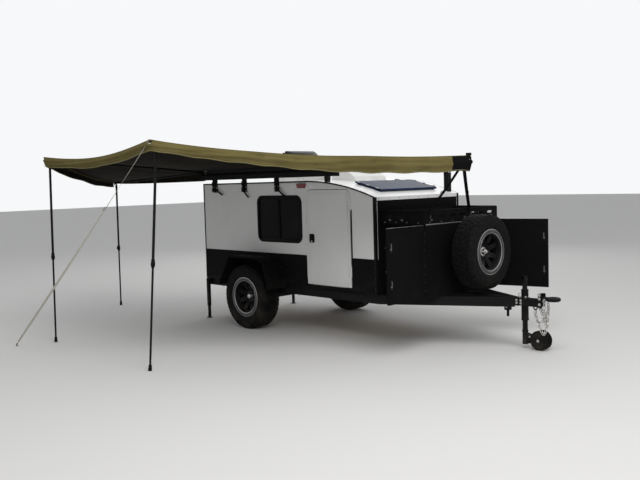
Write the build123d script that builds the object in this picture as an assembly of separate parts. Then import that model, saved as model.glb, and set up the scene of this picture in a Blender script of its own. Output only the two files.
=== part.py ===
from build123d import *
import os
from math import acos, atan2, cos, degrees, sin, tan

# Off-road teardrop trailer, standing on its wheels, jack and rear legs, with a fan awning
# set up on its right side. Millimetres. While it is drawn, x runs forward from the body's rear
# face, y runs to the left side and z rises from the ground. place_all moves the finished
# pieces so that the origin is the centre of the coupling ring.

# Body shell
body_length, body_width = 3180, 1524
body_bottom, roof_height = 560, 1854
brow_length, brow_drop = 1130, 200
wall = 38
roof_thick, roof_edge = 45, 20
lower_band = 395
running_gap, rest_gap, face_gap = 6, 0.3, 1

# Side doors, measured from the nose, the body's bottom and the roof
door_setback, door_width = 375, 745
door_sill, door_head = 50, 106
door_radius = 90
door_frame_width, door_frame_proud = 26, 4
hinge_radius, hinge_leaf, hinge_leaf_width, hinge_length, hinge_to_corner = 6, 2, 30, 120, 40

# Side windows: gap to the door, width, and distances from the two-tone line and the roof
window_to_door, window_width = 90, 805
window_sill, window_head = 160, 189
window_radius, window_frame_width, window_frame_proud = 75, 28, 8
mullion_width = 16
glass, glass_recess = 5, 2

# Galley at the rear
galley_depth, board = 700, 18
counter_rise, shelf_drop, shelf_depth = 370, 454, 260
hatch_to_band = 7
hatch_hinge_inset, hatch_hinge_rise, hatch_leaf, hatch_leaf_height = 40, 8, 4, 50
mattress_thick, mattress_radius, mattress_gap, mattress_to_door = 120, 30, 15, 43

# Chassis
rail_height, rail_width, rail_inset = 100, 50, 22
cross_member_count, cross_member_end = 5, 45
tongue_length = 1732
tongue_side, tongue_end = 80, 152
apex_to_ring = 480
bumper_depth, bumper_drop, bumper_inset = 60, 20, 30
stub_to_ring, stub_side, stub_drop, stub_pin_radius, stub_pin_length = 539, 56, 66, 14, 68

# Wheels and suspension
axle_to_door = 898
tyre_radius, tyre_width, tyre_gap = 408, 265, 15
tyre_shell, tread_share = 22, 0.80
rim_width, bead_radius, flange_radius, flange_edge = 230, 216, 235, 8
rim_well_radius, rim_shell = 195, 8
rim_windows, hub_bore_radius, bolt_face_radius, disc_thick = 8, 38, 82, 12
spindle_radius, spindle_clearance = 22, 0.05
hub_length, drum_radius, cap_radius, cap_length = 78, 140, 33, 44
arm_length, beam_side, beam_drop = 150, 76, 7
arm_thick, arm_boss_beam, arm_boss_axle = 20, 44, 36

# Mudguards, as clearances from the tyre
guard_above_tyre, guard_beyond_tyre = 104, 97
guard_reach, guard_sheet, guard_lip, guard_bend = 300, 4, 24, 36
guard_foot_drop = 20

# Coupling ring and jack
coupler_height = 570
ring_bore, ring_section, ring_bevel, ring_chamfer, ring_shank = 38.1, 38, 11, 3, 50
channel_width, channel_depth, channel_wall, channel_rise = 90, 40, 8, 50
jack_to_ring, jack_offset = 402, 75
jack_rise, jack_outer_low, jack_neck, jack_travel = 216, 300, 40, 90
jack_outer_radius, jack_inner_radius, jack_neck_radius = 38, 27.5, 22
handle_radius, handle_length = 12, 90
jack_head, jack_flange_height, jack_flange_drop, jack_flange_back, jack_flange_front = 150, 60, 10, 20, 60
caster_radius, caster_width, caster_trail = 105, 44, 190
caster_shoulder, caster_gap = 14, 4
caster_pin_radius, caster_arm_thick, caster_arm_radius, caster_arm_drop = 10, 24, 26, 70
caster_tube_low, caster_tube_high = 45, 200

# Front box, tray and spare wheel
box_length, box_inset, box_height, box_sheet = 610, 112, 797, 25
box_door_end, box_door_edge = 10, 8
box_door_angle_right, box_door_angle_left = 90, 167
box_hinge_end, box_hinge_leaf = 60, 3
tray_overhang, tray_height, tray_sheet = 30, 143, 4
slot_length, slot_height, slot_pitch = 110, 34, 180
spare_gap, spare_clear = 127, 59
carrier_plate, carrier_sheet, carrier_radius, carrier_flange, carrier_pilot = 240, 8, 45, 80, 30

# Roof fittings
vent_to_brow, vent_length, vent_width, vent_base_height, vent_wall = 600, 430, 540, 66, 30
vent_lid_height, vent_lid_lip, vent_lid_radius, vent_open_angle = 56, 10, 38, 40
vent_ear, vent_ear_inset = 14, 20
cover_to_brow, cover_length, cover_width, cover_height = 30, 430, 560, 130
solar_to_nose, solar_length, solar_width, solar_thick, solar_lift, solar_foot = 130, 410, 1020, 22, 8, 40
lamp_side, lamp_rise, lamp_to_side, lamp_to_nose = 60, 258, 100, 80
rack_inset, rack_tube, rack_lift = 62, 40, 96
rack_rear, rack_to_brow = 100, 100
rack_bar_drop, bar_to_vent, rear_bar_inset = 5, 165, 150
rack_foot_x = (280, 910, 1545)
rack_foot_width, rack_foot_sheet, rack_foot_drop = 90, 6, 124

# Awning: hinge posts on the base beam, and each arm's tip with its pole's foot
awning_offset, awning_lift = 98, 70
hinge_rear_x, hinge_to_brow = 130, 220
arm_radius = 12.5
post_radius, post_gap = 22, 2
fabric_thick, cloth_gap = 6, 0.4
base_width, base_height, base_to_hinge, base_overhang, base_front_reach = 85, 62, 58, 40, 420
base_bracket_width, base_foot_to_hinge, base_foot_side, base_foot_inset = 60, 130, 50, 42
arm_table = {
    # name: hinge post, cloth corner from the post (x, y, z), pole's inset along the arm,
    # pole's foot from the corner (x, y)
    "front": ("front", (2350, -140, 25), 0, None),
    "right_front": ("front", (0, -2170, 276), 75, (-52, -76)),
    "right_rear": ("rear", (-140, -2190, 196), 70, (-13, 37)),
    "rear": ("rear", (-2230, -80, -104), 60, (33, 1)),
}
edge_table = {
    # cloth edge points between the front and right_front arms, from the front post
    "edge_a": (710, -1430, 130),
    "edge_b": (1490, -670, 55),
}
pole_radius, pole_inner_radius, pole_foot_radius, pole_foot_length = 14, 11, 18, 30
pole_upper_share = 0.52
pole_pin_drop, pole_pin_radius, lug_width, lug_thick, lug_overlap = 24, 4, 26, 6, 10
fork_width, fork_depth, fork_length, fork_slot = 24, 22, 44, 8
guy_reach = (-2443, -400)
guy_strap_width, guy_strap_thick, peg_side, peg_height = 25, 4, 30, 26

# Rear legs
leg_to_rear, leg_gap = 60, 3
leg_outer, leg_inner, leg_foot, leg_foot_thick = 40, 30, 64, 8
leg_inner_height, leg_pin_drop, leg_pin_radius = 170, 40, 8
leg_bracket_width, leg_bracket_height = 70, 75

# Lamps
tail_inset, tail_width, tail_height, tail_depth, tail_rise = 10, 140, 80, 22, 90
marker_to_door, marker_drop, marker_height, marker_top, marker_low, marker_depth = 62, 34, 50, 160, 108, 26

# Places worked out from the sizes above
half = body_width / 2
inner_half = half - wall
nose_height = roof_height - brow_drop
roof_flat = body_length - brow_length
brow_radius = (brow_length**2 + brow_drop**2) / (2 * brow_drop)
two_tone_height = body_bottom + lower_band
floor_top = body_bottom + wall
ceiling = roof_height - roof_thick
door_front = body_length - door_setback
door_rear = door_front - door_width
door_bottom, door_top = body_bottom + door_sill, roof_height - door_head
window_front = door_rear - window_to_door
window_rear = window_front - window_width
window_bottom, window_top = two_tone_height + window_sill, roof_height - window_head
rail_half_span = half - rail_inset
rail_low = body_bottom - rail_height
coupler_x = body_length + tongue_length
tongue_front = coupler_x - tongue_end
axle_x = door_rear - axle_to_door
wheel_half_track = half + tyre_gap + tyre_width / 2
beam_height = rail_low - beam_drop - beam_side / 2
jack_x, jack_y = coupler_x - jack_to_ring, tongue_side / 2 + jack_offset
jack_top = body_bottom + jack_rise
box_half_width = half - box_inset
box_front = body_length + box_length
box_top = body_bottom + box_height
tray_half_width = box_half_width + tray_overhang
spare_height = body_bottom + spare_clear + tyre_radius
spare_x = box_front + spare_gap + tyre_width / 2
vent_front = roof_flat - vent_to_brow
vent_rear = vent_front - vent_length
rack_half_width = half - rack_inset
rack_height = roof_height + rack_lift
rack_front = roof_flat - rack_to_brow
rack_bar_x = (rack_rear + rear_bar_inset, vent_rear - bar_to_vent, vent_front + bar_to_vent)
hinge_y, hinge_z = -half - awning_offset, rack_height + awning_lift
hinge_x = {"rear": hinge_rear_x, "front": roof_flat + hinge_to_brow}
leg_x, leg_y = leg_to_rear, half + leg_outer / 2 + leg_gap
leg_pivot = body_bottom - leg_pin_drop

wheel_plane = Plane(origin=(0, 0, 0), x_dir=(0, -1, 0), z_dir=(-1, 0, 0))


def block(x, y, z):
    # x, y and z are (from, to) pairs
    centre = [(a + b) / 2 for a, b in (x, y, z)]
    return Pos(*centre) * Box(x[1] - x[0], y[1] - y[0], z[1] - z[0])


def around(middle, width):
    return middle - width / 2, middle + width / 2


def side_sheet(face, y_from, y_to):
    # a flat outline drawn in x and z, made solid between two y places
    plane = Plane(origin=(0, y_to, 0), x_dir=(1, 0, 0), z_dir=(0, -1, 0))
    return extrude(plane * face, amount=y_to - y_from)


def left_of(right_piece):
    return mirror(right_piece, about=Plane.XZ)


def both_sides(right_piece):
    return [right_piece, left_of(right_piece)]


def rod(start, end, radius):
    along = Vector(*end) - Vector(*start)
    seat = Plane(origin=start, z_dir=along)
    return seat * Cylinder(radius, along.length, align=(Align.CENTER, Align.CENTER, Align.MIN))


def upright(x, y, low, high, radius):
    return rod((x, y, low), (x, y, high), radius)


def crosswise(x, z, y_from, y_to, radius):
    return rod((x, y_from, z), (x, y_to, z), radius)


def turned(outline):
    # an outline in (distance outwards, radius), turned about the wheel's axis
    return revolve(wheel_plane * make_face(Polyline(*outline, close=True)), Axis.Y)


def bar(start, end, width, height):
    # a rectangular bar with its width level
    along = Vector(*end) - Vector(*start)
    level = Vector(0, 0, 1).cross(along)
    seat = Plane(origin=start, x_dir=level, z_dir=along)
    return seat * Box(width, height, along.length, align=(Align.CENTER, Align.CENTER, Align.MIN))


def rounded(x, z, radius):
    # a rounded rectangle drawn in x and z
    return Pos((x[0] + x[1]) / 2, (z[0] + z[1]) / 2) * RectangleRounded(x[1] - x[0], z[1] - z[0], radius)


# Body shell
def body_outline(drop=0):
    bottom, top, nose = body_bottom - drop, roof_height - drop, nose_height - drop
    return make_face([
        Line((0, bottom), (body_length, bottom)),
        Line((body_length, bottom), (body_length, nose)),
        TangentArc((roof_flat, top), (body_length, nose), tangent=(1, 0)),
        Line((roof_flat, top), (0, top)),
        Line((0, top), (0, bottom)),
    ])


def roof_slope(x):
    # height and downhill angle of the roof's outside at a place along it
    past_brow = max(0, x - roof_flat)
    angle = atan2(past_brow, (brow_radius**2 - past_brow**2) ** 0.5)
    return roof_height - brow_radius * (1 - cos(angle)), degrees(angle)


def above_roof(piece):
    return piece - side_sheet(body_outline(), -half, half)


def make_shell():
    outer_shape, wall_shape, lining = (body_outline(drop) for drop in (0, roof_edge, roof_thick))
    above = block((-1, body_length + 1), (-half, half), (nose_height - roof_thick, roof_height + 1))
    roof = side_sheet(outer_shape - wall_shape, -half, half)
    roof += side_sheet(wall_shape - lining, -inner_half, inner_half)
    roof &= above
    fascia = block((body_length - wall, body_length), (-half, half), (nose_height - roof_thick, roof_height))
    roof += fascia & side_sheet(outer_shape, -half, half)
    door_hole = rounded((door_rear, door_front), (door_bottom, door_top), door_radius)
    window_hole = rounded((window_rear, window_front), (window_bottom, window_top), window_radius)
    upper = side_sheet(wall_shape - door_hole - window_hole, -half, -inner_half)
    upper &= block((-1, body_length + 1), (-half, half), (two_tone_height, roof_height))
    upper -= fascia
    lower = block((0, body_length), (-half, -inner_half), (body_bottom, two_tone_height))
    lower -= side_sheet(door_hole, -half - 1, -inner_half + 1)
    inside = (-inner_half, inner_half)
    nose_wall = block((body_length - wall, body_length), inside, (body_bottom, nose_height - roof_thick))
    return {
        "roof": roof,
        "right_wall": upper,
        "left_wall": left_of(upper),
        "right_lower_wall": lower,
        "left_lower_wall": left_of(lower),
        "front_wall": nose_wall,
        "floor": block((0, body_length - wall), inside, (body_bottom, floor_top)),
        "rear_lower_wall": block((0, wall), inside, (floor_top, two_tone_height)),
    }


def make_windows():
    grow = window_frame_width / 2
    outline = rounded((window_rear, window_front), (window_bottom, window_top), window_radius)
    proud = rounded((window_rear - grow, window_front + grow), (window_bottom - grow, window_top + grow),
                    window_radius + grow)
    sight = offset(outline, amount=-grow)
    pane_face = -half + window_frame_proud - glass_recess
    frame = side_sheet(proud - sight, -half - window_frame_proud, -half)
    frame += side_sheet(offset(outline, amount=-rest_gap) - sight, -half, -inner_half)
    pane = side_sheet(offset(sight, amount=-rest_gap), pane_face, pane_face + glass)
    middle = (window_rear + window_front) / 2
    mullion = block(around(middle, mullion_width), (-half - glass_recess, pane_face - rest_gap),
                    (window_bottom, window_top))
    mullion &= side_sheet(sight, -half - window_frame_proud, pane_face)
    return {"window_frames": both_sides(frame + mullion), "window_glass": both_sides(pane)}


def make_doors():
    face = rounded(
        (door_rear + running_gap, door_front - running_gap),
        (door_bottom + running_gap, door_top - running_gap),
        door_radius - running_gap,
    )
    slab = side_sheet(face, -half, -inner_half)
    slab += side_sheet(face - offset(face, amount=-door_frame_width), -half - door_frame_proud, -half)
    pin_y = -half - hinge_radius - rest_gap
    edge = door_front - running_gap
    inset = door_radius + hinge_to_corner
    for low in (door_bottom + inset, door_top - inset - hinge_length):
        along = (low, low + hinge_length)
        slab += upright(door_front, pin_y, *along, hinge_radius)
        slab += block((edge - hinge_leaf_width, door_front), (pin_y - hinge_leaf, pin_y), along)
        slab += block((edge - hinge_leaf_width, edge - 2 * hinge_radius), (pin_y, -half), along)
    return {"right_door": slab, "left_door": left_of(slab)}


def make_galley():
    inside = (-inner_half, inner_half)
    counter_height, shelf_height = body_bottom + counter_rise, roof_height - shelf_drop
    cabinet = block((galley_depth, galley_depth + board), inside, (floor_top, ceiling))
    cabinet += block((wall, galley_depth), inside, (counter_height, counter_height + board))
    cabinet += block((galley_depth - shelf_depth, galley_depth), inside, (shelf_height, shelf_height + board))
    # the hatch hangs from a barrel on the roof's rear edge
    pin_x, pin_z = -hinge_radius - rest_gap, ceiling + hatch_hinge_rise
    leaf_low = ceiling - hatch_leaf_height
    reach = inner_half - hatch_hinge_inset
    hatch = block((0, wall), (-inner_half + running_gap, inner_half - running_gap),
                  (two_tone_height + hatch_to_band, ceiling - running_gap))
    hatch += block((-hatch_leaf, -rest_gap), (-reach, reach), (leaf_low, pin_z))
    hatch += block((-1, 0), (-reach, reach), (leaf_low, ceiling - 10))
    hatch += crosswise(pin_x, pin_z, -reach, reach, hinge_radius)
    side = inner_half - mattress_gap
    mattress = block((galley_depth + board + mattress_gap, door_front - mattress_to_door), (-side, side),
                     (floor_top + rest_gap, floor_top + mattress_thick))
    return {
        "galley_cabinet": cabinet,
        "rear_hatch": hatch,
        "mattress": fillet(mattress.edges().filter_by(Axis.Z), mattress_radius),
    }


# Chassis
def make_chassis():
    rails = block((0, body_length), (-rail_half_span, -rail_half_span + rail_width), (rail_low, body_bottom))
    inside = rail_half_span - rail_width
    pitch = (body_length - cross_member_end - rail_width / 2) / (cross_member_count - 1)
    members = [
        block(around(cross_member_end + step * pitch, rail_width), (-inside, inside), (rail_low, body_bottom))
        for step in range(cross_member_count)
    ]
    tongue_low = body_bottom - tongue_side
    tongue = block((body_length, tongue_front), around(0, tongue_side), (tongue_low, body_bottom))
    # each tongue rail is cut off flush with the body's front and the tongue's side
    meet, middle = tongue_side / 2, rail_half_span - rail_width / 2
    lean = atan2(middle - meet, coupler_x - apex_to_ring - body_length)
    slant = rail_width / 2 / cos(lean)
    outer, inner = middle + slant, middle - slant
    outline = make_face(Polyline(
        (body_length, -outer),
        (body_length + (outer - meet) / tan(lean), -meet),
        (body_length + (inner - meet) / tan(lean), -meet),
        (body_length, -inner),
        close=True,
    ))
    tongue_rail = extrude(Pos(0, 0, rail_low) * outline, amount=rail_height)
    # stub under the tongue that the stowed jack is pinned to
    stub_x = coupler_x - stub_to_ring
    stub_low = tongue_low - stub_drop
    tongue += block(around(stub_x, stub_side), around(0, stub_side), (stub_low, tongue_low))
    tongue += upright(stub_x, 0, stub_low - stub_pin_length, stub_low, stub_pin_radius)
    bumper = block((-bumper_depth, 0), (-half + bumper_inset, half - bumper_inset),
                   (rail_low, body_bottom - bumper_drop))
    leg_face = -leg_y + leg_outer / 2
    bracket_top = body_bottom - 5
    bracket = block(around(leg_x, leg_bracket_width), (leg_face + 5, -rail_half_span),
                    (bracket_top - leg_bracket_height, bracket_top))
    bracket += crosswise(leg_x, leg_pivot, -leg_y - leg_outer / 2 - 3, -rail_half_span, leg_pin_radius)
    bracket += crosswise(leg_x, leg_pivot, leg_face + 1, leg_face + 5, leg_pin_radius + 6)
    return {
        "chassis_rails": both_sides(rails) + members,
        "tongue": both_sides(tongue_rail) + [tongue],
        "rear_bumper": bumper,
        "leg_brackets": both_sides(bracket),
    }


def make_coupler():
    centre = Pos(coupler_x, 0, coupler_height)
    back = tongue_front + channel_wall
    channel_front = tongue_front + channel_depth
    low, high = body_bottom - tongue_side, coupler_height + channel_rise
    channel = block((tongue_front, channel_front), around(0, channel_width), (low, high))
    channel -= block((back, channel_front + 1), around(0, channel_width - 2 * channel_wall),
                     (low - 1, high + 1))
    ring = centre * Cylinder(ring_bore + ring_section, ring_section)
    ring = chamfer(ring.edges(), ring_bevel)
    shank = block((back, coupler_x - ring_bore - ring_chamfer), around(0, ring_shank),
                  around(coupler_height, ring_section - 4))
    eye = shank + ring - centre * Cylinder(ring_bore, 3 * ring_section)
    flare = Cone(ring_bore - 3, ring_bore + ring_chamfer, ring_chamfer + 3,
                 align=(Align.CENTER, Align.CENTER, Align.MAX))
    for turn in (0, 180):
        eye -= centre * Rot(turn, 0, 0) * Pos(0, 0, ring_section / 2) * flare
    return {"coupler": channel + eye}


def make_jack():
    outer_top = jack_top - jack_head
    neck_top = jack_top - handle_radius
    outer = upright(jack_x, jack_y, jack_outer_low, outer_top, jack_outer_radius)
    outer += upright(jack_x, jack_y, outer_top, neck_top, jack_neck_radius + 4)
    outer -= upright(jack_x, jack_y, jack_outer_low - 1, jack_top - jack_neck, jack_neck_radius)
    outer -= upright(jack_x, jack_y, jack_outer_low - 1, outer_top - 4, jack_inner_radius + 0.5)
    outer += crosswise(jack_x, neck_top, *around(jack_y, handle_length), handle_radius)
    flange_top = body_bottom - jack_flange_drop
    flange = block((jack_x - jack_flange_back, jack_x + jack_flange_front), (tongue_side / 2, jack_y),
                   (flange_top - jack_flange_height, flange_top))
    outer += flange - upright(jack_x, jack_y, 0, jack_top, jack_outer_radius - 2)
    inner = upright(jack_x, jack_y, caster_tube_high, outer_top - jack_travel - 10, jack_inner_radius)
    # the caster's tube turns on the end of the jack, and its arm carries the twin wheels in front
    wheel_x = jack_x + caster_trail
    arm_high, arm_low = caster_tube_high - caster_arm_drop, caster_tube_low + caster_arm_radius
    arm = make_hull([
        *(Pos(jack_x, arm_high) * Circle(caster_arm_radius)).edges(),
        *(Pos(jack_x, arm_low) * Circle(caster_arm_radius)).edges(),
        *(Pos(wheel_x, caster_radius) * Circle(caster_pin_radius + 14)).edges(),
    ])
    fork = upright(jack_x, jack_y, caster_tube_low, caster_tube_high - rest_gap, jack_inner_radius + 2)
    fork += side_sheet(arm, *around(jack_y, caster_arm_thick))
    inside = caster_arm_thick / 2 + caster_gap
    reach = inside + caster_width + caster_gap - 1
    fork += crosswise(wheel_x, caster_radius, jack_y - reach, jack_y + reach, caster_pin_radius)
    half_caster = caster_width / 2
    bore, shoulder = caster_pin_radius + spindle_clearance, caster_radius - caster_shoulder
    wheel = turned([
        (-half_caster, bore), (-half_caster, shoulder), (-half_caster + caster_shoulder, caster_radius),
        (half_caster - caster_shoulder, caster_radius), (half_caster, shoulder), (half_caster, bore),
    ])
    wheels = [
        Pos(wheel_x, jack_y + side * (inside + half_caster), caster_radius) * wheel for side in (-1, 1)
    ]
    return {"jack_outer_tube": outer, "jack_inner_tube": inner, "jack_fork": fork, "jack_wheel": wheels}


def make_legs():
    leg = block(around(leg_x, leg_outer), around(-leg_y, leg_outer), (leg_inner_height, leg_pivot + 22))
    leg += block(around(leg_x, leg_inner), around(-leg_y, leg_inner), (leg_foot_thick - 2, leg_inner_height))
    leg += block(around(leg_x, leg_foot), around(-leg_y, leg_foot), (0, leg_foot_thick))
    # the top is slotted so that it clears the bracket's boss
    leg -= block(around(leg_x, 2 * leg_outer), around(-leg_y, 2 * leg_pin_radius),
                 (leg_pivot - 30, leg_pivot + 40))
    leg -= crosswise(leg_x, leg_pivot, *around(-leg_y, 2 * leg_outer), leg_pin_radius + spindle_clearance)
    return {"right_rear_leg": leg, "left_rear_leg": left_of(leg)}


# Wheels, drawn about the y axis at the origin with their outside towards -y
def make_tyre():
    bead, seat = rim_width / 2 - flange_edge - rest_gap, bead_radius + rest_gap
    half_width, tread = tyre_width / 2, tyre_width / 2 * tread_share
    height = tyre_radius - flange_radius
    # outside from the tread's edge to the bead, then the inside back again
    right_half = [
        (tread, tyre_radius), (half_width - 5, tyre_radius - 0.22 * height),
        (half_width, flange_radius + 0.45 * height), (bead, flange_radius + 0.05 * height),
        (bead, seat), (bead - tyre_shell, seat), (half_width - tyre_shell, flange_radius + 0.4 * height),
        (tread - tyre_shell / 2, tyre_radius - tyre_shell),
    ]
    left_half = [(-x, z) for x, z in reversed(right_half)]
    return turned(right_half + left_half)


def make_rim():
    edge, inside = rim_width / 2, rim_well_radius - rim_shell
    lip = edge - flange_edge
    well, slope = edge - 55, edge - 37
    barrel = turned([
        (edge, flange_radius), (lip, flange_radius), (lip, bead_radius), (slope, bead_radius - 2),
        (well, rim_well_radius), (-well, rim_well_radius), (-slope, bead_radius - 2), (-lip, bead_radius),
        (-lip, flange_radius), (-edge, flange_radius), (-edge, inside + 12), (-well, inside), (well, inside),
        (edge, inside + 12),
    ])
    # dished disc with its bolting face at distance 0
    disc = turned([
        (0, hub_bore_radius), (disc_thick, hub_bore_radius), (disc_thick, bolt_face_radius - 4),
        (disc_thick + 38, 112), (disc_thick + 58, inside), (46 + disc_thick, inside), (38, 116),
        (0, bolt_face_radius),
    ])
    window = make_face(Polyline((-12, 100), (12, 100), (44, 178), (-44, 178), close=True))
    for turn in range(rim_windows):
        disc -= Rot(0, turn * 360 / rim_windows, 0) * side_sheet(window, -rim_width / 2, 20)
    return barrel + disc


def make_hub():
    bore, flange = spindle_radius + spindle_clearance, bolt_face_radius - 6
    return turned([
        (-hub_length, bore), (-hub_length, drum_radius), (-16, drum_radius), (-12, flange), (0, flange),
        (0, cap_radius + 1), (cap_length, cap_radius - 8), (cap_length, 0), (-6, 0), (-6, bore),
    ])


def make_wheels():
    tyre, rim, hub = make_tyre(), make_rim(), make_hub()
    pieces = {}
    seat = Pos(axle_x, -wheel_half_track, tyre_radius)
    for name, piece in (("tyre", tyre), ("rim", rim), ("hub", hub)):
        pieces["right_" + name] = seat * piece
        pieces["left_" + name] = left_of(seat * piece)
    spare_seat = Pos(spare_x, 0, spare_height) * Rot(0, 0, 90)
    pieces["spare_tyre"] = spare_seat * tyre
    pieces["spare_rim"] = spare_seat * rim
    return pieces


def make_suspension():
    beam_x = axle_x + arm_length
    arm_in = rail_half_span + 2
    beam = block(around(beam_x, beam_side), (-arm_in, arm_in), around(beam_height, beam_side))
    for y in (-rail_half_span, rail_half_span - rail_width):
        beam += block(around(beam_x, 120), (y, y + rail_width), (beam_height + beam_side / 2 - 2, rail_low))
    profile = make_hull([
        *(Pos(beam_x, beam_height) * Circle(arm_boss_beam)).edges(),
        *(Pos(axle_x, tyre_radius) * Circle(arm_boss_axle)).edges(),
    ])
    arm = side_sheet(profile, -arm_in - arm_thick, -arm_in)
    arm += crosswise(axle_x, tyre_radius, -arm_in - arm_thick, -wheel_half_track + 12, spindle_radius)
    return {"axle_beam": beam, "swing_arms": both_sides(arm)}


def make_guards():
    # the guard's line in x and z: rear foot, rear corner, front corner, front bevel, front foot
    reach, top = tyre_radius + guard_beyond_tyre, 2 * tyre_radius + guard_above_tyre
    foot = body_bottom - guard_foot_drop
    line = FilletPolyline(
        (axle_x - reach, foot), (axle_x - reach + 243, top), (axle_x + reach - 243, top),
        (axle_x + reach - 111, top - 46), (axle_x + reach, foot), radius=guard_bend,
    )
    outer = -half - guard_reach
    sheet = side_sheet(trace(line, line_width=guard_sheet), outer, -half)
    lip = side_sheet(trace(line, line_width=guard_lip), outer, outer + guard_sheet)
    return {"mudguards": both_sides(sheet + lip)}


# Front box
def make_box():
    rear = body_length
    shell = block((rear, box_front), (-box_half_width, box_half_width), (body_bottom, box_top))
    shell -= block((rear + box_sheet, box_front - box_sheet), (-box_half_width - 1, box_half_width + 1),
                   (body_bottom + box_sheet, box_top - box_sheet))
    skin = -box_half_width - box_sheet
    pin_x, pin_y = box_front + hinge_radius + rest_gap, skin + hinge_radius
    hinge = (body_bottom + box_hinge_end, box_top - box_hinge_end)
    leaf = block((box_front - 4, box_front), (pin_y - hinge_radius, -box_half_width), hinge)
    shell += leaf + left_of(leaf)
    # doors laid over the box's open ends, each on a long hinge at the front edge
    edge = box_front - box_door_end
    door = block((rear + box_door_end, edge), (skin, -box_half_width - rest_gap),
                 (body_bottom + box_door_edge, box_top - box_door_edge))
    door += upright(pin_x, pin_y, *hinge, hinge_radius)
    door += block((edge - 10, pin_x), (skin - 4, skin - 4 + box_hinge_leaf), hinge)
    door += block((edge - 10, edge), (skin - 4, skin), hinge)
    door += block(around(pin_x, 4), (skin - 4, pin_y), hinge)
    right = Pos(pin_x, pin_y, 0) * Rot(0, 0, box_door_angle_right) * Pos(-pin_x, -pin_y, 0) * door
    left = Pos(pin_x, -pin_y, 0) * Rot(0, 0, -box_door_angle_left) * Pos(-pin_x, pin_y, 0) * left_of(door)
    return {"front_box": shell, "cargo_tray": make_tray(), "right_box_door": right, "left_box_door": left,
            "spare_carrier": make_carrier()}


def make_tray():
    rear, front, top = body_length + face_gap, box_front + 5, box_top + tray_height
    tray = block((rear, front), (-tray_half_width, tray_half_width), (box_top, top))
    tray -= block((rear + tray_sheet, front - tray_sheet), around(0, 2 * (tray_half_width - tray_sheet)),
                  (box_top + tray_sheet, top + 1))
    slot_z = box_top + tray_height * 0.55
    slot = Plane.YZ * SlotOverall(slot_length, slot_height)
    across = int((2 * tray_half_width - slot_length) / slot_pitch / 2)
    for step in range(-across, across + 1):
        tray -= Pos(front, step * slot_pitch, slot_z) * extrude(slot, amount=2 * tray_sheet, both=True)
    for step in (-1, 0, 1):
        through = Rot(0, 0, 90) * extrude(slot, amount=tray_half_width + tray_sheet, both=True)
        tray -= Pos((rear + front) / 2 + step * slot_pitch, 0, slot_z) * through
    return tray


def make_carrier():
    plate_front = box_front + carrier_sheet
    flange_rear = spare_x - 14
    carrier = block((box_front, plate_front), around(0, carrier_plate), around(spare_height, carrier_plate))
    carrier += rod((plate_front, 0, spare_height), (flange_rear, 0, spare_height), carrier_radius)
    carrier += rod((flange_rear, 0, spare_height), (spare_x, 0, spare_height), carrier_flange)
    carrier += rod((spare_x, 0, spare_height), (spare_x + 40, 0, spare_height), carrier_pilot)
    return carrier


# Roof fittings
def make_vent():
    top = roof_height + vent_base_height
    base = block((vent_rear, vent_front), around(0, vent_width), (roof_height, top))
    base -= block((vent_rear + vent_wall, vent_front - vent_wall), around(0, vent_width - 2 * vent_wall),
                  (roof_height + 10, top + 1))
    pin_x, pin_z = vent_front + 8, top + 8
    lid_half = vent_width / 2 + vent_lid_lip
    lid = block((vent_rear - vent_lid_lip, vent_front + 4), (-lid_half, lid_half),
                (top + 4, top + vent_lid_height))
    lid = chamfer(lid.faces().sort_by(Axis.Z)[-1].edges(), vent_lid_radius * 0.6, vent_lid_radius)
    ear_inside = vent_width / 2 - vent_ear_inset
    ear = block((vent_front, vent_front + 14), (-ear_inside, -ear_inside + vent_ear), (top - 30, pin_z + 8))
    ear -= crosswise(pin_x, pin_z, -vent_width, 0, 5 + spindle_clearance)
    notch = block((vent_front - 8, pin_x + 8), (-ear_inside - 8, -ear_inside + vent_ear + 8),
                  (top, top + vent_lid_height + 1))
    lid -= notch
    lid -= left_of(notch)
    lid += crosswise(pin_x, pin_z, -vent_width / 2 + 8, vent_width / 2 - 8, 5)
    lid = Pos(pin_x, 0, pin_z) * Rot(0, vent_open_angle, 0) * Pos(-pin_x, 0, -pin_z) * lid
    return {"vent_base": base + ear + left_of(ear), "vent_lid": lid}


def make_cover():
    # white cover behind the brow, sloped down to the front
    rear = roof_flat - cover_to_brow
    front = rear + cover_length
    rear_z, _ = roof_slope(rear)
    front_z, _ = roof_slope(front)
    top = rear_z + cover_height
    outline = make_face(Polyline(
        (rear, rear_z - 30), (rear + 20, top - 20), (rear + 70, top), (rear + cover_length - 180, top - 4),
        (front - 30, front_z + 60), (front, front_z - 30), close=True,
    ))
    cover = side_sheet(outline, -cover_width / 2, cover_width / 2)
    return {"vent_cover": above_roof(cover)}


def make_solar():
    middle = body_length - solar_to_nose - solar_length / 2
    height, lean = roof_slope(middle)
    on_base = (Align.CENTER, Align.CENTER, Align.MIN)
    panel = Pos(0, 0, solar_lift) * Box(solar_length, solar_width, solar_thick, align=on_base)
    for x in around(0, solar_length - 2 * solar_foot):
        for y in around(0, solar_width - 2 * solar_foot):
            panel += Pos(x, y, -20) * Box(solar_foot, solar_foot, solar_lift + 24, align=on_base)
    return {"solar_panel": above_roof(Pos(middle, 0, height) * Rot(0, lean, 0) * panel)}


def make_lamp():
    x, y = body_length - lamp_to_nose, half - lamp_to_side
    height, _ = roof_slope(x)
    lamp = block(around(x, lamp_side), around(y, lamp_side + 10), (height - 20, height + lamp_rise))
    return {"roof_lamp": above_roof(lamp)}


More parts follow.
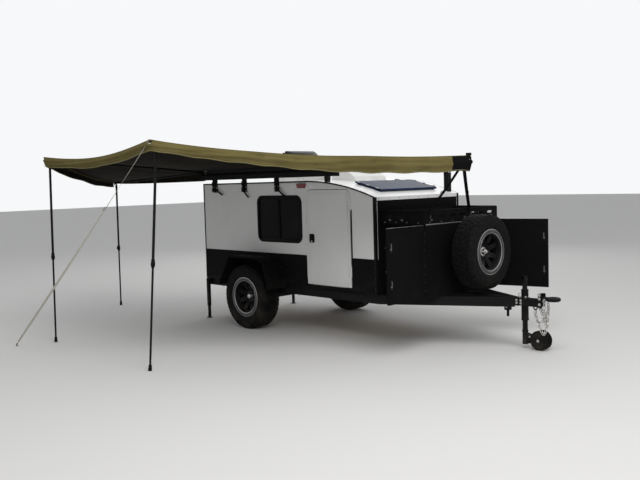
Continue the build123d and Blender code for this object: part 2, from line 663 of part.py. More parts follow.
def make_rack():
    rail = block((rack_rear, rack_front), around(-rack_half_width, rack_tube),
                 (rack_height, rack_height + rack_tube))
    inside = rack_half_width - rack_tube / 2
    bar_z = (rack_height + rack_bar_drop, rack_height + rack_tube - rack_bar_drop)
    bars = [block(around(x, rack_tube), (-inside, inside), bar_z) for x in rack_bar_x]
    feet = []
    for x in rack_foot_x:
        along = around(x, rack_foot_width)
        foot = block(along, (-half - rack_foot_sheet, -half), (roof_height - rack_foot_drop, rack_height))
        foot += block(along, (-half, -inside), (rack_height - rack_foot_sheet, rack_height))
        feet += both_sides(foot)
    return {"rack_rails": both_sides(rail) + bars, "rack_feet": feet}


# Awning
def cloth_corner(post, reach):
    return Vector(hinge_x[post], hinge_y, hinge_z) + Vector(*reach)


def arm_line(name):
    # an arm's axis, just under the cloth's edge
    post, reach = arm_table[name][:2]
    drop = Vector(0, 0, arm_radius + cloth_gap)
    start, tip = cloth_corner(post, (0, 0, 0)) - drop, cloth_corner(post, reach) - drop
    return start, tip, (tip - start).normalized()


def pole_pin(name):
    # pin centre, its level direction and the pole's foot
    post, reach, inset, foot = arm_table[name]
    _, tip, along = arm_line(name)
    corner = cloth_corner(post, reach)
    pin = tip - along * inset - Vector(0, 0, arm_radius + pole_pin_drop)
    return pin, Vector(0, 0, 1).cross(along).normalized(), Vector(corner.X + foot[0], corner.Y + foot[1], 0)


def make_base():
    top = hinge_z - base_to_hinge
    low = top - base_height
    side = hinge_y + base_width / 2 - 2.5
    rack_side = -rack_half_width - rack_tube / 2
    front = hinge_x["front"]
    base = block((hinge_rear_x - base_overhang, front + base_front_reach), (side - base_width, side),
                 (low, top))
    bracket_low = top - rack_foot_sheet
    for x in (hinge_rear_x + 300, (hinge_rear_x + rack_front) / 2, rack_front - 150):
        base += block(around(x, base_bracket_width), (side, rack_side), (bracket_low, top))
    # the front bracket stands on the brow on its own foot
    foot_x, foot_y = front + base_foot_to_hinge, -half + base_foot_inset
    roof_z, _ = roof_slope(foot_x)
    foot = block(around(foot_x, base_foot_side), around(foot_y, base_foot_side), (roof_z - 10, top))
    base += above_roof(foot)
    base += block(around(foot_x, base_foot_side), (side, foot_y - base_foot_side / 2), (bracket_low, top))
    for x in hinge_x.values():
        base += upright(x, hinge_y, top, hinge_z - 2, post_radius)
    return base


def make_arms():
    arms = []
    for name, (post, reach, inset, foot) in arm_table.items():
        start, tip, along = arm_line(name)
        arm = rod(start + along * (post_radius + post_gap), tip - along * 10, arm_radius)
        if foot:
            # a lug under the arm takes the pole's pin
            pin, level, _ = pole_pin(name)
            lug = Plane(origin=pin, x_dir=along, z_dir=level)
            lug_height = pole_pin_drop + 2 * lug_overlap
            arm += lug * Pos(0, -pole_pin_drop / 2) * Box(lug_width, lug_height, lug_thick)
            arm -= lug * Cylinder(pole_pin_radius + spindle_clearance, 40)
        arms.append(arm)
    return arms


def make_cloth():
    # flat panels between the two posts and the cloth's edge points
    corners = {name: cloth_corner(row[0], row[1]) for name, row in arm_table.items()}
    corners |= {name: cloth_corner("front", reach) for name, reach in edge_table.items()}
    corners |= {post + "_post": cloth_corner(post, (0, 0, 0)) for post in hinge_x}
    panels = (
        ("rear_post", "rear", "right_rear"),
        ("rear_post", "right_rear", "right_front"),
        ("rear_post", "right_front", "front_post"),
        ("front_post", "right_front", "edge_a"),
        ("front_post", "edge_a", "edge_b"),
        ("front_post", "edge_b", "front"),
    )
    solids = [
        extrude(make_face(Polyline(*[corners[name] for name in names], close=True)), fabric_thick,
                dir=(0, 0, 1))
        for names in panels
    ]
    return solids[0].fuse(*solids[1:])


def make_poles():
    pieces = {}
    for name, (post, reach, inset, foot) in arm_table.items():
        if not foot:
            continue
        pin, level, ground = pole_pin(name)
        tilt = acos((pin - ground).normalized().Z)
        ground += Vector(0, 0, pole_foot_radius * sin(tilt) + 0.05)
        down = (ground - pin).normalized()
        split = pin + down * ((ground - pin).length * pole_upper_share)
        pole = rod(pin + down * 20, split, pole_radius)
        pole += rod(split, ground, pole_inner_radius)
        pole += rod(ground - down * pole_foot_length, ground, pole_foot_radius)
        # fork that straddles the lug under the arm
        seat = Plane(origin=pin, x_dir=level, z_dir=down)
        fork = seat * Pos(0, 0, 10) * Box(fork_width, fork_depth, fork_length)
        fork -= seat * Pos(0, 0, 4) * Box(fork_slot, 2 * fork_depth, fork_length - 12)
        pole += fork
        pole += Plane(origin=pin, z_dir=level) * Cylinder(pole_pin_radius, fork_width - 2)
        pieces["pole_" + name] = pole
    return pieces


def make_guy(cloth):
    # a strap from the cloth's outer corner to a peg in the ground
    corner = cloth_corner("front", arm_table["right_front"][1])
    peg_x, peg_y = corner.X + guy_reach[0], corner.Y + guy_reach[1]
    anchor = Vector(peg_x, peg_y, peg_height - 6)
    down = (anchor - corner).normalized()
    strap = rod(corner + Vector(-6, 6, 3), corner + down * 45, 3)
    strap += bar(corner + down * 40, anchor, guy_strap_thick, guy_strap_width)
    strap += block(around(peg_x, peg_side), around(peg_y, peg_side), (0, peg_height))
    return {"guy_strap": (strap - cloth).solids().sort_by(SortBy.VOLUME)[-1]}


def make_lights():
    tail_low = body_bottom + tail_rise
    tail_side = -half + tail_inset
    tail = block((-tail_depth, 0), (tail_side, tail_side + tail_width), (tail_low, tail_low + tail_height))
    x, top = door_rear - marker_to_door, roof_height - marker_drop
    outline = make_face(Polyline(
        (x - marker_top / 2, top), (x + marker_top / 2, top),
        (x + marker_low / 2, top - marker_height), (x - marker_low / 2, top - marker_height), close=True,
    ))
    marker = side_sheet(outline, -half - marker_depth, -half)
    return {"lights": both_sides(tail) + both_sides(marker)}


def place_all(groups):
    shift = Pos(-coupler_x, 0, -coupler_height)
    os.makedirs("parts", exist_ok=True)
    for group in groups:
        for name, piece in group.items():
            pieces = piece if isinstance(piece, list) else [piece]
            solids = [shift * solid for part in pieces for solid in part.solids()]
            export_step(Compound(solids), f"parts/{name}.step")


cloth = make_cloth()
place_all([
    make_shell(), make_windows(), make_doors(), make_galley(), make_chassis(), make_coupler(), make_jack(),
    make_legs(), make_wheels(), make_suspension(), make_guards(), make_box(), make_vent(), make_cover(),
    make_solar(), make_lamp(), make_rack(), {"awning_base": make_base(), "awning_arms": make_arms()},
    {"awning_fabric": cloth}, make_poles(), make_guy(cloth), make_lights(),
])
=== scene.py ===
import bpy
import bmesh
from math import acos, asin, copysign, cos, exp, pi, radians, sin, sqrt, tau
from mathutils import Matrix, Vector


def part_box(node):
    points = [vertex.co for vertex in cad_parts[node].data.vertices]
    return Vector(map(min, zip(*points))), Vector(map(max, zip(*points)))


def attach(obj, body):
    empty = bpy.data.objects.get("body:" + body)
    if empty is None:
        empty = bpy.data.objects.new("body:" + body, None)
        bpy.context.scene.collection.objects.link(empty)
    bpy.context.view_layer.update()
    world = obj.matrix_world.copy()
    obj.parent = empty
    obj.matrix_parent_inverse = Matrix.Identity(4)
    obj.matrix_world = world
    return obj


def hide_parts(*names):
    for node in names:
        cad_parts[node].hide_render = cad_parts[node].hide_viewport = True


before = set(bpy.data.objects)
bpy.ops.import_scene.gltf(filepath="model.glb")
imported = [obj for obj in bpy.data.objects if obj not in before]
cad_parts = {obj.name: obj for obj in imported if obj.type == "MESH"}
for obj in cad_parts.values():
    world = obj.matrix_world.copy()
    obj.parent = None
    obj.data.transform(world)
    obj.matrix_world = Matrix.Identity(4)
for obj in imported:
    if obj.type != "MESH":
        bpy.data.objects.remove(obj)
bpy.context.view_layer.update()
scene = bpy.context.scene
scene.view_settings.view_transform = "Standard"
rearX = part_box("right_wall")[0].x  # the body's rear face
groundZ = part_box("right_tyre")[0].z
bodySide = -0.762  # the right wall's outside
origin, upward, downward = (0, 0, 0), (0, 0, 1), (0, 0, -1)
forward, rearward, leftward, rightward = (1, 0, 0), (-1, 0, 0), (0, 1, 0), (0, -1, 0)
print("frame loaded:", len(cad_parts), "nodes")


def at(x, y, z):  # metres forward of the body's rear, to the left of the middle, above the ground
    return Vector((rearX + x, y, groundZ + z))


# Camera at the photograph's viewing angle
cameraView = {"place": (9.174, -7.384, 1.847), "lens": 45.44, "turn": 46.11, "down": 4.17, "roll": -1.66}


def makeCamera(view):
    data = bpy.data.cameras.new("photoCamera")
    data.lens = view["lens"]
    data.sensor_width = 36.0
    turn, down, roll = (radians(view[key]) for key in ("turn", "down", "roll"))
    ahead = Vector((-sin(turn) * cos(down), cos(turn) * cos(down), -sin(down)))
    level = Vector((cos(turn), sin(turn), 0.0))
    upright = level.cross(ahead)
    right = level * cos(roll) + upright * sin(roll)
    up = upright * cos(roll) - level * sin(roll)
    camera = bpy.data.objects.new("photoCamera", data)
    turned = Matrix((right, up, -ahead)).transposed().to_4x4()
    camera.matrix_world = Matrix.Translation(at(*view["place"])) @ turned
    data.clip_end = 200.0
    scene.collection.objects.link(camera)
    scene.camera = camera


makeCamera(cameraView)


# Shader helpers
class Wire:
    # one output of a node; sums on it become Math nodes
    def __init__(self, finish, socket):
        self.finish = finish
        self.socket = socket

    def sum(self, operation, first, second=0.0):
        return self.finish.add("ShaderNodeMath", {"operation": operation}, {0: first, 1: second})

    def __add__(self, other):
        return self.sum("ADD", self, other)

    def __sub__(self, other):
        return self.sum("SUBTRACT", self, other)

    def __rsub__(self, other):
        return self.sum("SUBTRACT", other, self)

    def __mul__(self, other):
        return self.sum("MULTIPLY", self, other)

    def __truediv__(self, other):
        return self.sum("DIVIDE", self, other)

    def __gt__(self, other):
        return self.sum("GREATER_THAN", self, other)

    __radd__ = __add__
    __rmul__ = __mul__

    def sine(self):
        return self.sum("SINE", self)

    def fraction(self):
        return self.sum("FRACT", self)

    def clamp(self):
        return self.finish.add("ShaderNodeClamp", {}, {"Value": self})


class Finish:
    # a material on the Principled shader, with its nodes added one by one
    def __init__(self, name, **fixed):
        self.material = bpy.data.materials.new(name)
        self.material.use_nodes = True
        self.tree = self.material.node_tree
        self.shader = self.tree.nodes["Principled BSDF"]
        for key, value in fixed.items():
            self.shader.inputs[key.replace("_", " ")].default_value = value

    def feed(self, socket, value):
        if isinstance(value, Wire):
            self.tree.links.new(value.socket, socket)
        else:
            socket.default_value = value

    def add(self, kind, settings, sockets, output=0):
        node = self.tree.nodes.new(kind)
        for key, value in settings.items():
            setattr(node, key, value)
        for key, value in sockets.items():
            self.feed(node.inputs[key], value)
        return Wire(self, node.outputs[output])

    def place(self):  # object space is the shared frame, because every piece sits at the origin
        return self.add("ShaderNodeTexCoord", {}, {}, "Object")

    def axis(self, letter):
        return self.add("ShaderNodeSeparateXYZ", {}, {0: self.place()}, letter)

    def noise(self, scale, detail=4.0, roughness=0.55, stretch=None):
        where = self.place()
        if stretch:
            where = self.add("ShaderNodeMapping", {}, {"Vector": where, "Scale": stretch})
        return self.add("ShaderNodeTexNoise", {}, {
            "Vector": where, "Scale": scale, "Detail": detail, "Roughness": roughness})

    def band(self, value, low, high):  # 0 below low, 1 above high, smooth between
        return self.add("ShaderNodeMapRange", {"interpolation_type": "SMOOTHSTEP"}, {
            "Value": value, "From Min": low, "From Max": high})

    def mix(self, factor, first, second):
        return self.add("ShaderNodeMix", {"data_type": "RGBA"}, {0: factor, 6: first, 7: second}, 2)

    def bump(self, height, strength, depth):
        normal = self.add("ShaderNodeBump", {}, {"Height": height, "Strength": strength, "Distance": depth})
        self.use("Normal", normal)

    def use(self, socket, value):
        self.feed(self.shader.inputs[socket], value)
        return self


def tint(red, green, blue):
    return (red, green, blue, 1.0)


# Finishes. Every colour that a user may change is here.
colours = {
    "white": tint(0.74, 0.74, 0.725), "whiteShade": tint(0.67, 0.665, 0.64),
    "whiteStreak": tint(0.55, 0.53, 0.48), "dust": tint(0.26, 0.215, 0.16), "scuff": tint(0.1, 0.1, 0.1),
    "panelBlack": tint(0.0055, 0.0055, 0.006), "panelGrey": tint(0.014, 0.014, 0.015),
    "steelBlack": tint(0.006, 0.006, 0.0065),
    "boxBlack": tint(0.0045, 0.0045, 0.005), "boxGrey": tint(0.01, 0.01, 0.011),
    "rimBlack": tint(0.006, 0.006, 0.0065), "poleBlack": tint(0.006, 0.006, 0.0065),
    "rubber": tint(0.006, 0.006, 0.0063), "rubberWorn": tint(0.018, 0.0175, 0.016),
    "olive": tint(0.128, 0.104, 0.038), "oliveFaded": tint(0.16, 0.133, 0.052),
    # oliveUndersideShade and oliveShade: the awning's underside in painted shade
    "oliveDark": tint(0.07, 0.062, 0.026), "oliveUndersideShade": tint(0.01, 0.0085, 0.0058),
    "oliveShade": tint(0.017, 0.0145, 0.0095), "oliveHem": tint(0.3, 0.27, 0.15),
    "webbing": tint(0.58, 0.56, 0.5), "strapBlack": tint(0.007, 0.007, 0.007),
    "ply": tint(0.52, 0.36, 0.19), "plyDark": tint(0.36, 0.23, 0.11), "mattress": tint(0.3, 0.3, 0.32),
    "mattressDark": tint(0.22, 0.22, 0.24), "lining": tint(0.34, 0.33, 0.31),
    "liningDark": tint(0.28, 0.27, 0.25), "cellGap": tint(0.012, 0.013, 0.016),
    "red": tint(0.22, 0.008, 0.006), "redDark": tint(0.05, 0.003, 0.003), "clear": tint(0.72, 0.73, 0.74),
    "clearDark": tint(0.42, 0.43, 0.44), "machined": tint(0.38, 0.38, 0.38),
    "ring": tint(0.085, 0.085, 0.088), "zinc": tint(0.5, 0.49, 0.47), "iron": tint(0.14, 0.135, 0.13),
    "bare": tint(0.42, 0.42, 0.42), "tarnish": tint(0.22, 0.21, 0.2), "glass": tint(0.0035, 0.004, 0.005),
    "smoke": tint(0.006, 0.006, 0.006), "smear": tint(0.06, 0.06, 0.06),
    "cellBlue": tint(0.02, 0.036, 0.085), "cellDeep": tint(0.011, 0.019, 0.045),
    "cellLine": tint(0.24, 0.26, 0.3), "plastic": tint(0.008, 0.008, 0.008),
    "whitePlastic": tint(0.72, 0.72, 0.7), "seal": tint(0.006, 0.006, 0.006),
    "steelSink": tint(0.55, 0.55, 0.55), "floor": tint(0.7, 0.69, 0.67),
    "floorShade": tint(0.65, 0.64, 0.62), "sky": tint(0.95, 0.97, 1.0), "backdrop": tint(0.93, 0.94, 0.95),
}


def dusty(finish, clean, height=0.55, amount=0.5):
    # road dust that thins out upwards, broken up by noise; gives the colour and where the dust lies
    rise = finish.axis("Z") - groundZ
    low = 1 - finish.band(rise, 0.05, height)
    patch = finish.band(finish.noise(7.0), 0.35, 0.75)
    mask = low * patch * amount
    return finish.mix(mask, clean, colours["dust"]), mask


def makeWhitePaint():
    paint = Finish("whitePaint", Coat_Weight=0.2, Coat_Roughness=0.2, Specular_IOR_Level=0.4)
    cloud = paint.noise(1.4, 3.0)
    colour = paint.mix(paint.band(cloud, 0.4, 0.7) * 0.5, colours["white"], colours["whiteShade"])
    streak = paint.band(paint.noise(3.0, 5.0, 0.6, (1.0, 1.0, 0.12)), 0.55, 0.8)
    colour = paint.mix(streak * 0.18, colour, colours["whiteStreak"])
    paint.use("Base Color", dusty(paint, colour, 1.15, 0.12)[0])
    paint.use("Roughness", paint.noise(3.0) * 0.15 + 0.3)
    paint.bump(paint.noise(160.0, 2.0), 0.06, 0.0004)
    return paint.material


def makeTexturedBlack(name, base, grey, scale, depth, dustHeight=0.9, dustAmount=0.12):
    # sprayed liner or powder coat with a fine grain
    coat = Finish(name, Specular_IOR_Level=0.03)
    grain = coat.noise(scale, 5.0, 0.65)
    colour = coat.mix(coat.band(grain, 0.45, 0.7), base, grey)
    scuff = coat.band(coat.noise(22.0, 6.0, 0.7, (0.4, 0.4, 2.0)), 0.66, 0.82)
    colour = coat.mix(scuff * 0.1, colour, colours["scuff"])
    colour, mask = dusty(coat, colour, dustHeight, dustAmount)
    coat.use("Base Color", colour)
    coat.use("Roughness", mask * 0.4 + coat.noise(5.0) * 0.15 + 0.52)
    coat.bump(grain, 0.5, depth)
    return coat.material


def makePowderCoat(name, colour, rough=0.42, dustHeight=0.6, dustAmount=0.14):
    coat = Finish(name, Specular_IOR_Level=0.06)
    shade, mask = dusty(coat, coat.mix(coat.noise(9.0), colour, colours["panelGrey"]), dustHeight,
        dustAmount)
    chips = coat.band(coat.noise(60.0, 6.0, 0.7), 0.7, 0.76)
    coat.use("Base Color", coat.mix(chips * 0.35, shade, colours["tarnish"]))
    coat.use("Roughness", mask * 0.35 + coat.noise(14.0) * 0.12 + rough)
    coat.bump(coat.noise(700.0, 2.0), 0.12, 0.0002)
    return coat.material


def makeMetal(name, colour, rough=0.25, stretch=(1.0, 1.0, 1.0)):
    metal = Finish(name, Metallic=1.0)
    grain = metal.noise(120.0, 4.0, 0.6, stretch)
    stain = metal.band(metal.noise(14.0, 5.0), 0.5, 0.8)
    metal.use("Base Color", metal.mix(stain * 0.5, colour, colours["tarnish"]))
    metal.use("Roughness", grain * 0.18 + stain * 0.15 + rough)
    metal.bump(grain, 0.05, 0.0002)
    return metal.material


def makeRubber():
    rubber = Finish("tyreRubber", Specular_IOR_Level=0.05)
    worn = rubber.band(rubber.noise(30.0, 6.0, 0.7), 0.4, 0.78)
    colour = rubber.mix(worn, colours["rubber"], colours["rubberWorn"])
    rubber.use("Base Color", dusty(rubber, colour, 0.95, 0.1)[0])
    rubber.use("Roughness", rubber.noise(18.0) * 0.2 + 0.62)
    rubber.bump(rubber.noise(420.0, 4.0), 0.25, 0.0004)
    return rubber.material


weave = {"threads": 4200.0, "ripstop": 160.0, "ripstopWidth": 0.9}


def makeCanvas():
    # ripstop cloth: fine threads with a heavier thread every few millimetres
    cloth = Finish("oliveCanvas", Roughness=0.9, Specular_IOR_Level=0.05)
    across, along = cloth.axis("X"), cloth.axis("Y")
    fine = (across * weave["threads"]).sine() * (along * weave["threads"]).sine()
    edge = weave["ripstopWidth"]
    ripstop = ((across * weave["ripstop"]).fraction() > edge) + (
        (along * weave["ripstop"]).fraction() > edge)
    fade = cloth.band(cloth.noise(1.6, 4.0), 0.35, 0.7)
    top = cloth.mix(fade, colours["olive"], colours["oliveFaded"])
    top = cloth.mix(ripstop.clamp() * 0.3, top, colours["oliveDark"])
    # darker streaks where the cloth creases: painted shade in the folds
    crease = cloth.band(cloth.noise(5.0, 5.0, 0.6, (1.0, 1.0, 3.0)), 0.5, 0.72)
    top = cloth.mix(crease * 0.45, top, colours["oliveDark"])
    cloth.use("Base Color", top)
    cloth.bump(fine * 0.3 + ripstop * 0.5 + cloth.noise(14.0) * 4.0, 0.3, 0.0008)
    return cloth.material


def makeShadedUnderside():  # the cloth's underside, its near-black olive painted shade; the weave only just shows
    coat = Finish("canvasUndersideShade", Specular_IOR_Level=0.05)
    # lighter and darker streaks of painted shade along the folds
    foldShade = coat.band(coat.noise(3.0, 4.0, 0.6, (1.0, 1.0, 3.0)), 0.35, 0.75)
    coat.use("Base Color", coat.mix(foldShade, colours["oliveUndersideShade"], colours["oliveShade"]))
    coat.use("Roughness", coat.noise(9.0) * 0.15 + 0.75)
    fine = (coat.axis("X") * weave["threads"]).sine() * (coat.axis("Y") * weave["threads"]).sine()
    coat.bump(fine * 0.3 + coat.noise(14.0) * 4.0, 0.25, 0.0006)
    return coat.material


def makeWebbing(name, colour, pitch=900.0):
    strap = Finish(name, Roughness=0.85, Specular_IOR_Level=0.05)
    ribs = (strap.axis("Z") * pitch).sine() + (strap.axis("X") * pitch).sine()
    dark = tint(colour[0] * 0.55, colour[1] * 0.55, colour[2] * 0.52)
    strap.use("Base Color", strap.mix(strap.band(ribs, -1.5, 1.5) * 0.6, colour, dark))
    strap.bump(ribs, 0.4, 0.0006)
    return strap.material


def makePly():
    ply = Finish("varnishedPly", Coat_Weight=0.3, Coat_Roughness=0.25)
    grain = ply.noise(7.0, 6.0, 0.65, (12.0, 1.0, 12.0))
    ply.use("Base Color", ply.mix(ply.band(grain, 0.35, 0.65), colours["ply"], colours["plyDark"]))
    ply.use("Roughness", grain * 0.2 + 0.3)
    ply.bump(grain, 0.12, 0.0006)
    return ply.material


def makeCloth(name, colour, dark, pitch):
    cloth = Finish(name, Roughness=0.9, Sheen_Weight=0.15)
    threads = (cloth.axis("X") * pitch).sine() * (cloth.axis("Y") * pitch).sine()
    cloth.use("Base Color", cloth.mix(cloth.band(cloth.noise(40.0), 0.3, 0.7), colour, dark))
    cloth.bump(threads + cloth.noise(60.0), 0.3, 0.0006)
    return cloth.material


def makeGlass(name, colour, rough=0.04, clear=0.25):
    glass = Finish(name, Specular_IOR_Level=0.1)
    smear = glass.band(glass.noise(5.0, 5.0), 0.5, 0.85)
    glass.use("Base Color", glass.mix(smear * 0.2, colour, colours["smear"]))
    glass.use("Roughness", smear * 0.12 + rough)
    glass.use("Alpha", smear * 0.06 + (1 - clear))
    return glass.material


def makeSolarGlass():
    # dark cells with thin pale grid lines under glass
    cell = Finish("solarCells", Specular_IOR_Level=0.004)
    edge, cells = -0.51, 8.0  # the panel's right edge, and how many cells go to a metre
    across, along = cell.axis("Y") - edge, cell.axis("X")
    column = (across * cells).fraction()
    row = (along * cells).fraction()
    gap = ((column > 0.965) + (row > 0.965)).clamp()
    finger = (row * 30.0).fraction() > 0.9
    busbar = (column * 4.0).fraction() > 0.95
    shade = cell.mix(cell.band(cell.noise(5.0), 0.35, 0.7), colours["cellDeep"], colours["cellBlue"])
    shade = cell.mix((finger * 0.12 + busbar * 0.45).clamp(), shade, colours["cellLine"])
    cell.use("Base Color", cell.mix(gap * 0.8, shade, colours["cellGap"]))
    cell.use("Roughness", cell.noise(3.0) * 0.1 + 0.12)
    return cell.material


def makeLens(name, colour, dark):
    lens = Finish(name, Coat_Weight=0.4, Coat_Roughness=0.08, Specular_IOR_Level=0.4)
    ribs = (lens.axis("Y") * 700.0).sine() * (lens.axis("Z") * 700.0).sine()
    lens.use("Base Color", lens.mix(lens.band(ribs, -0.6, 0.8) * 0.5, colour, dark))
    lens.use("Roughness", lens.noise(20.0) * 0.1 + 0.2)
    lens.bump(ribs, 0.4, 0.0008)
    return lens.material


def makePlastic(name, colour, rough=0.4, level=0.3):
    plastic = Finish(name, Specular_IOR_Level=level)
    dark = tint(colour[0] * 0.8, colour[1] * 0.8, colour[2] * 0.78)
    plastic.use("Base Color", plastic.mix(plastic.band(plastic.noise(4.0), 0.4, 0.7) * 0.6, colour, dark))
    plastic.use("Roughness", plastic.noise(25.0) * 0.15 + rough)
    plastic.bump(plastic.noise(500.0), 0.08, 0.0003)
    return plastic.material


finishes = {
    "whitePaint": makeWhitePaint(),
    "texturedBlack": makeTexturedBlack("texturedBlack", colours["panelBlack"], colours["panelGrey"],
                                       420.0, 0.0012),
    "boxBlack": makeTexturedBlack("boxBlack", colours["boxBlack"], colours["boxGrey"], 600.0, 0.0005,
                                  0.9, 0.05),
    "chassis": makePowderCoat("chassisCoat", colours["steelBlack"]),
    "poleBlack": makePowderCoat("poleCoat", colours["poleBlack"], 0.36, 0.3, 0.12),
    "rimDark": makePowderCoat("rimCoat", colours["rimBlack"], 0.34, 0.9, 0.08),
    "machined": makeMetal("machinedAluminium", colours["machined"], 0.3),
    "ringGrey": makeMetal("ringGrey", colours["ring"], 0.42),
    "zinc": makeMetal("zincSteel", colours["zinc"], 0.32),
    "castIron": makeMetal("castIron", colours["iron"], 0.5),
    "bareEdge": makeMetal("bareEdge", colours["bare"], 0.42, (1.0, 1.0, 4.0)),
    "sink": makeMetal("brushedSteel", colours["steelSink"], 0.22, (1.0, 12.0, 1.0)),
    "rubber": makeRubber(),
    "canvas": makeCanvas(),
    # the awning's underside in painted shade
    "shadedUnderside": makeShadedUnderside(),
    "hem": makeWebbing("oliveHem", colours["oliveHem"], 1400.0),
    "webbing": makeWebbing("paleWebbing", colours["webbing"]),
    "blackWebbing": makeWebbing("blackWebbing", colours["strapBlack"]),
    "ply": makePly(),
    "mattress": makeCloth("mattressCloth", colours["mattress"], colours["mattressDark"], 2500.0),
    "lining": makeCloth("wallLining", colours["lining"], colours["liningDark"], 1800.0),
    "windowGlass": makeGlass("tintedGlass", colours["glass"], 0.03, 0.1),
    "smoked": makeGlass("smokedLid", colours["smoke"], 0.08, 0.08),
    "solar": makeSolarGlass(),
    "redLens": makeLens("redLens", colours["red"], colours["redDark"]),
    "clearLens": makeLens("clearLens", colours["clear"], colours["clearDark"]),
    "blackPlastic": makePlastic("blackPlastic", colours["plastic"], 0.45, 0.06),
    "whitePlastic": makePlastic("whitePlastic", colours["whitePlastic"], 0.38),
    "seal": makePlastic("rubberSeal", colours["seal"], 0.65, 0.04),
}
print("finishes made:", len(finishes))


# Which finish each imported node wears
nodeFinishes = {
    "whitePaint": ["roof", "right_wall", "left_wall", "right_door", "left_door", "rear_hatch"],
    "texturedBlack": ["right_lower_wall", "left_lower_wall", "rear_lower_wall", "front_wall", "mudguards"],
    "boxBlack": ["front_box", "cargo_tray", "right_box_door", "left_box_door"],
    "chassis": ["chassis_rails", "tongue", "rear_bumper", "leg_brackets", "coupler", "axle_beam",
                "swing_arms", "jack_outer_tube", "jack_inner_tube", "jack_fork", "right_rear_leg",
                "left_rear_leg", "spare_carrier", "rack_rails", "rack_feet"],
    "poleBlack": ["awning_base", "awning_arms", "pole_right_front", "pole_right_rear", "pole_rear"],
    "rimDark": ["right_rim", "left_rim", "spare_rim"],
    "castIron": ["right_hub", "left_hub"],
    "rubber": ["right_tyre", "left_tyre", "spare_tyre", "jack_wheel"],
    "ply": ["floor", "galley_cabinet"],
    "mattress": ["mattress"],
    "windowGlass": ["window_glass"],
    "smoked": ["vent_lid"],
    "solar": ["solar_panel"],
    "redLens": ["lights"],
    "blackPlastic": ["window_frames", "roof_lamp"],
    "whitePlastic": ["vent_base", "vent_cover"],
    "canvas": ["awning_fabric"],
    "webbing": ["guy_strap"],
}
for finish, names in nodeFinishes.items():
    for name in names:
        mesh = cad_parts[name].data
        mesh.materials.clear()
        mesh.materials.append(finishes[finish])
print("nodes finished:", sum(len(names) for names in nodeFinishes.values()))


# Mesh building. Forms are drawn in the measures that at() takes.
meshing = {"merge": 0.00002, "bevelAngle": 0.75, "bevelSegments": 2, "bevelProfile": 0.6}
flipSide = Matrix.Scale(-1.0, 4, leftward)


def around(count, shift=0.0):  # angles in even steps round a circle
    return [tau * (index + shift) / count for index in range(count)]


def spread(low, high, count):  # evenly spaced places from low to high
    return [low + (high - low) * index / (count - 1) for index in range(count)]


def newForms(count):
    return [Form() for index in range(count)]


def onPlane(axis, outline, place):  # an outline set square to an axis
    return [{"x": (place, a, b), "y": (a, place, b), "z": (a, b, place)}[axis] for a, b in outline]


class Form:
    def __init__(self):
        self.points = []
        self.faces = []

    def add(self, points, faces):
        start = len(self.points)
        self.points += [Vector(point) for point in points]
        self.faces += [[start + index for index in face] for face in faces]
        return self

    def merge(self, other, move=None):
        return self.add([move @ point if move else point for point in other.points], other.faces)

    def mirrored(self):  # the same again on the other side of the middle
        other = Form().add(self.points, self.faces)
        return other.merge(self, flipSide)

    def loft(self, rings, ends=True, loop=False):  # rings of equal length, joined one after another
        size, count = len(rings[0]), len(rings)
        faces = []
        for step in range(count if loop else count - 1):
            here, there = step * size, (step + 1) % count * size
            for side in range(size):
                after = (side + 1) % size
                faces.append((here + side, here + after, there + after, there + side))
        if ends and not loop:
            faces += [tuple(reversed(range(size))),
                tuple((count - 1) * size + side for side in range(size))]
        return self.add([point for ring in rings for point in ring], faces)

    def block(self, x, y, z):  # each a (from, to) pair
        rings = [[(x[0], y[0], height), (x[1], y[0], height), (x[1], y[1], height), (x[0], y[1], height)]
            for height in z]
        return self.loft(rings)

    def tube(self, path, radius, sides=10, loop=False, flat=None):
        # a round bar along the path, or a strap when flat gives (width, thickness, up)
        path = [Vector(point) for point in path]
        count = len(path)
        rings, side = [], None
        for step, point in enumerate(path):
            before = path[(step - 1) % count] if loop or step else point
            after = path[(step + 1) % count] if loop or step < count - 1 else point
            along = (after - before).normalized()
            if flat:
                width, thick, up = flat
                across = along.cross(Vector(up)).normalized() * (width / 2)
                lift = across.cross(along).normalized() * (thick / 2)
                rings.append([point + across + lift, point - across + lift, point - across - lift,
                    point + across - lift])
                continue
            side = side or along.orthogonal()
            side = (side - along * side.dot(along)).normalized()
            other = along.cross(side)
            reach = radius[step] if isinstance(radius, (list, tuple)) else radius
            rings.append([point + (side * cos(turn) + other * sin(turn)) * reach for turn in around(sides)])
        return self.loft(rings, not loop, loop)

    def turned(self, outline, centre, axis, sides=32, closed=False):  # outline in (distance along, radius)
        centre, axis = Vector(centre), Vector(axis).normalized()
        side = axis.orthogonal().normalized()
        other = axis.cross(side)
        rings = []
        for along, radius in outline:
            middle = centre + axis * along
            rings.append([middle + (side * cos(turn) + other * sin(turn)) * radius
                for turn in around(sides)])
        return self.loft(rings, not closed, closed)

    def plate(self, outline, centre, across, up, thick):  # a flat outline made solid
        centre, across, up = Vector(centre), Vector(across), Vector(up)
        out = across.cross(up).normalized() * thick
        flat = [centre + across * first + up * second for first, second in outline]
        return self.loft([flat, [point + out for point in flat]])

    def slab(self, axis, outline, places):  # one outline at places along an axis, made solid
        return self.loft([onPlane(axis, outline, place) for place in places])

    def collar(self, axis, outer, inner, low, high):  # the band between two outlines
        rings = ((outer, low), (outer, high), (inner, high), (inner, low))
        return self.loft([onPlane(axis, outline, place) for outline, place in rings], False, True)

    def bolt(self, centre, axis, width=0.013, height=0.006):
        # a washer, a hexagon head and a domed end
        self.turned([(0, width * 0.8), (height * 0.25, width * 0.8)], centre, axis, 14)
        self.turned([(0, width / 2), (height * 0.8, width / 2), (height, width * 0.4)], centre, axis, 6)
        return self.turned([(height, width * 0.28), (height * 1.35, width * 0.2)], centre, axis, 10)


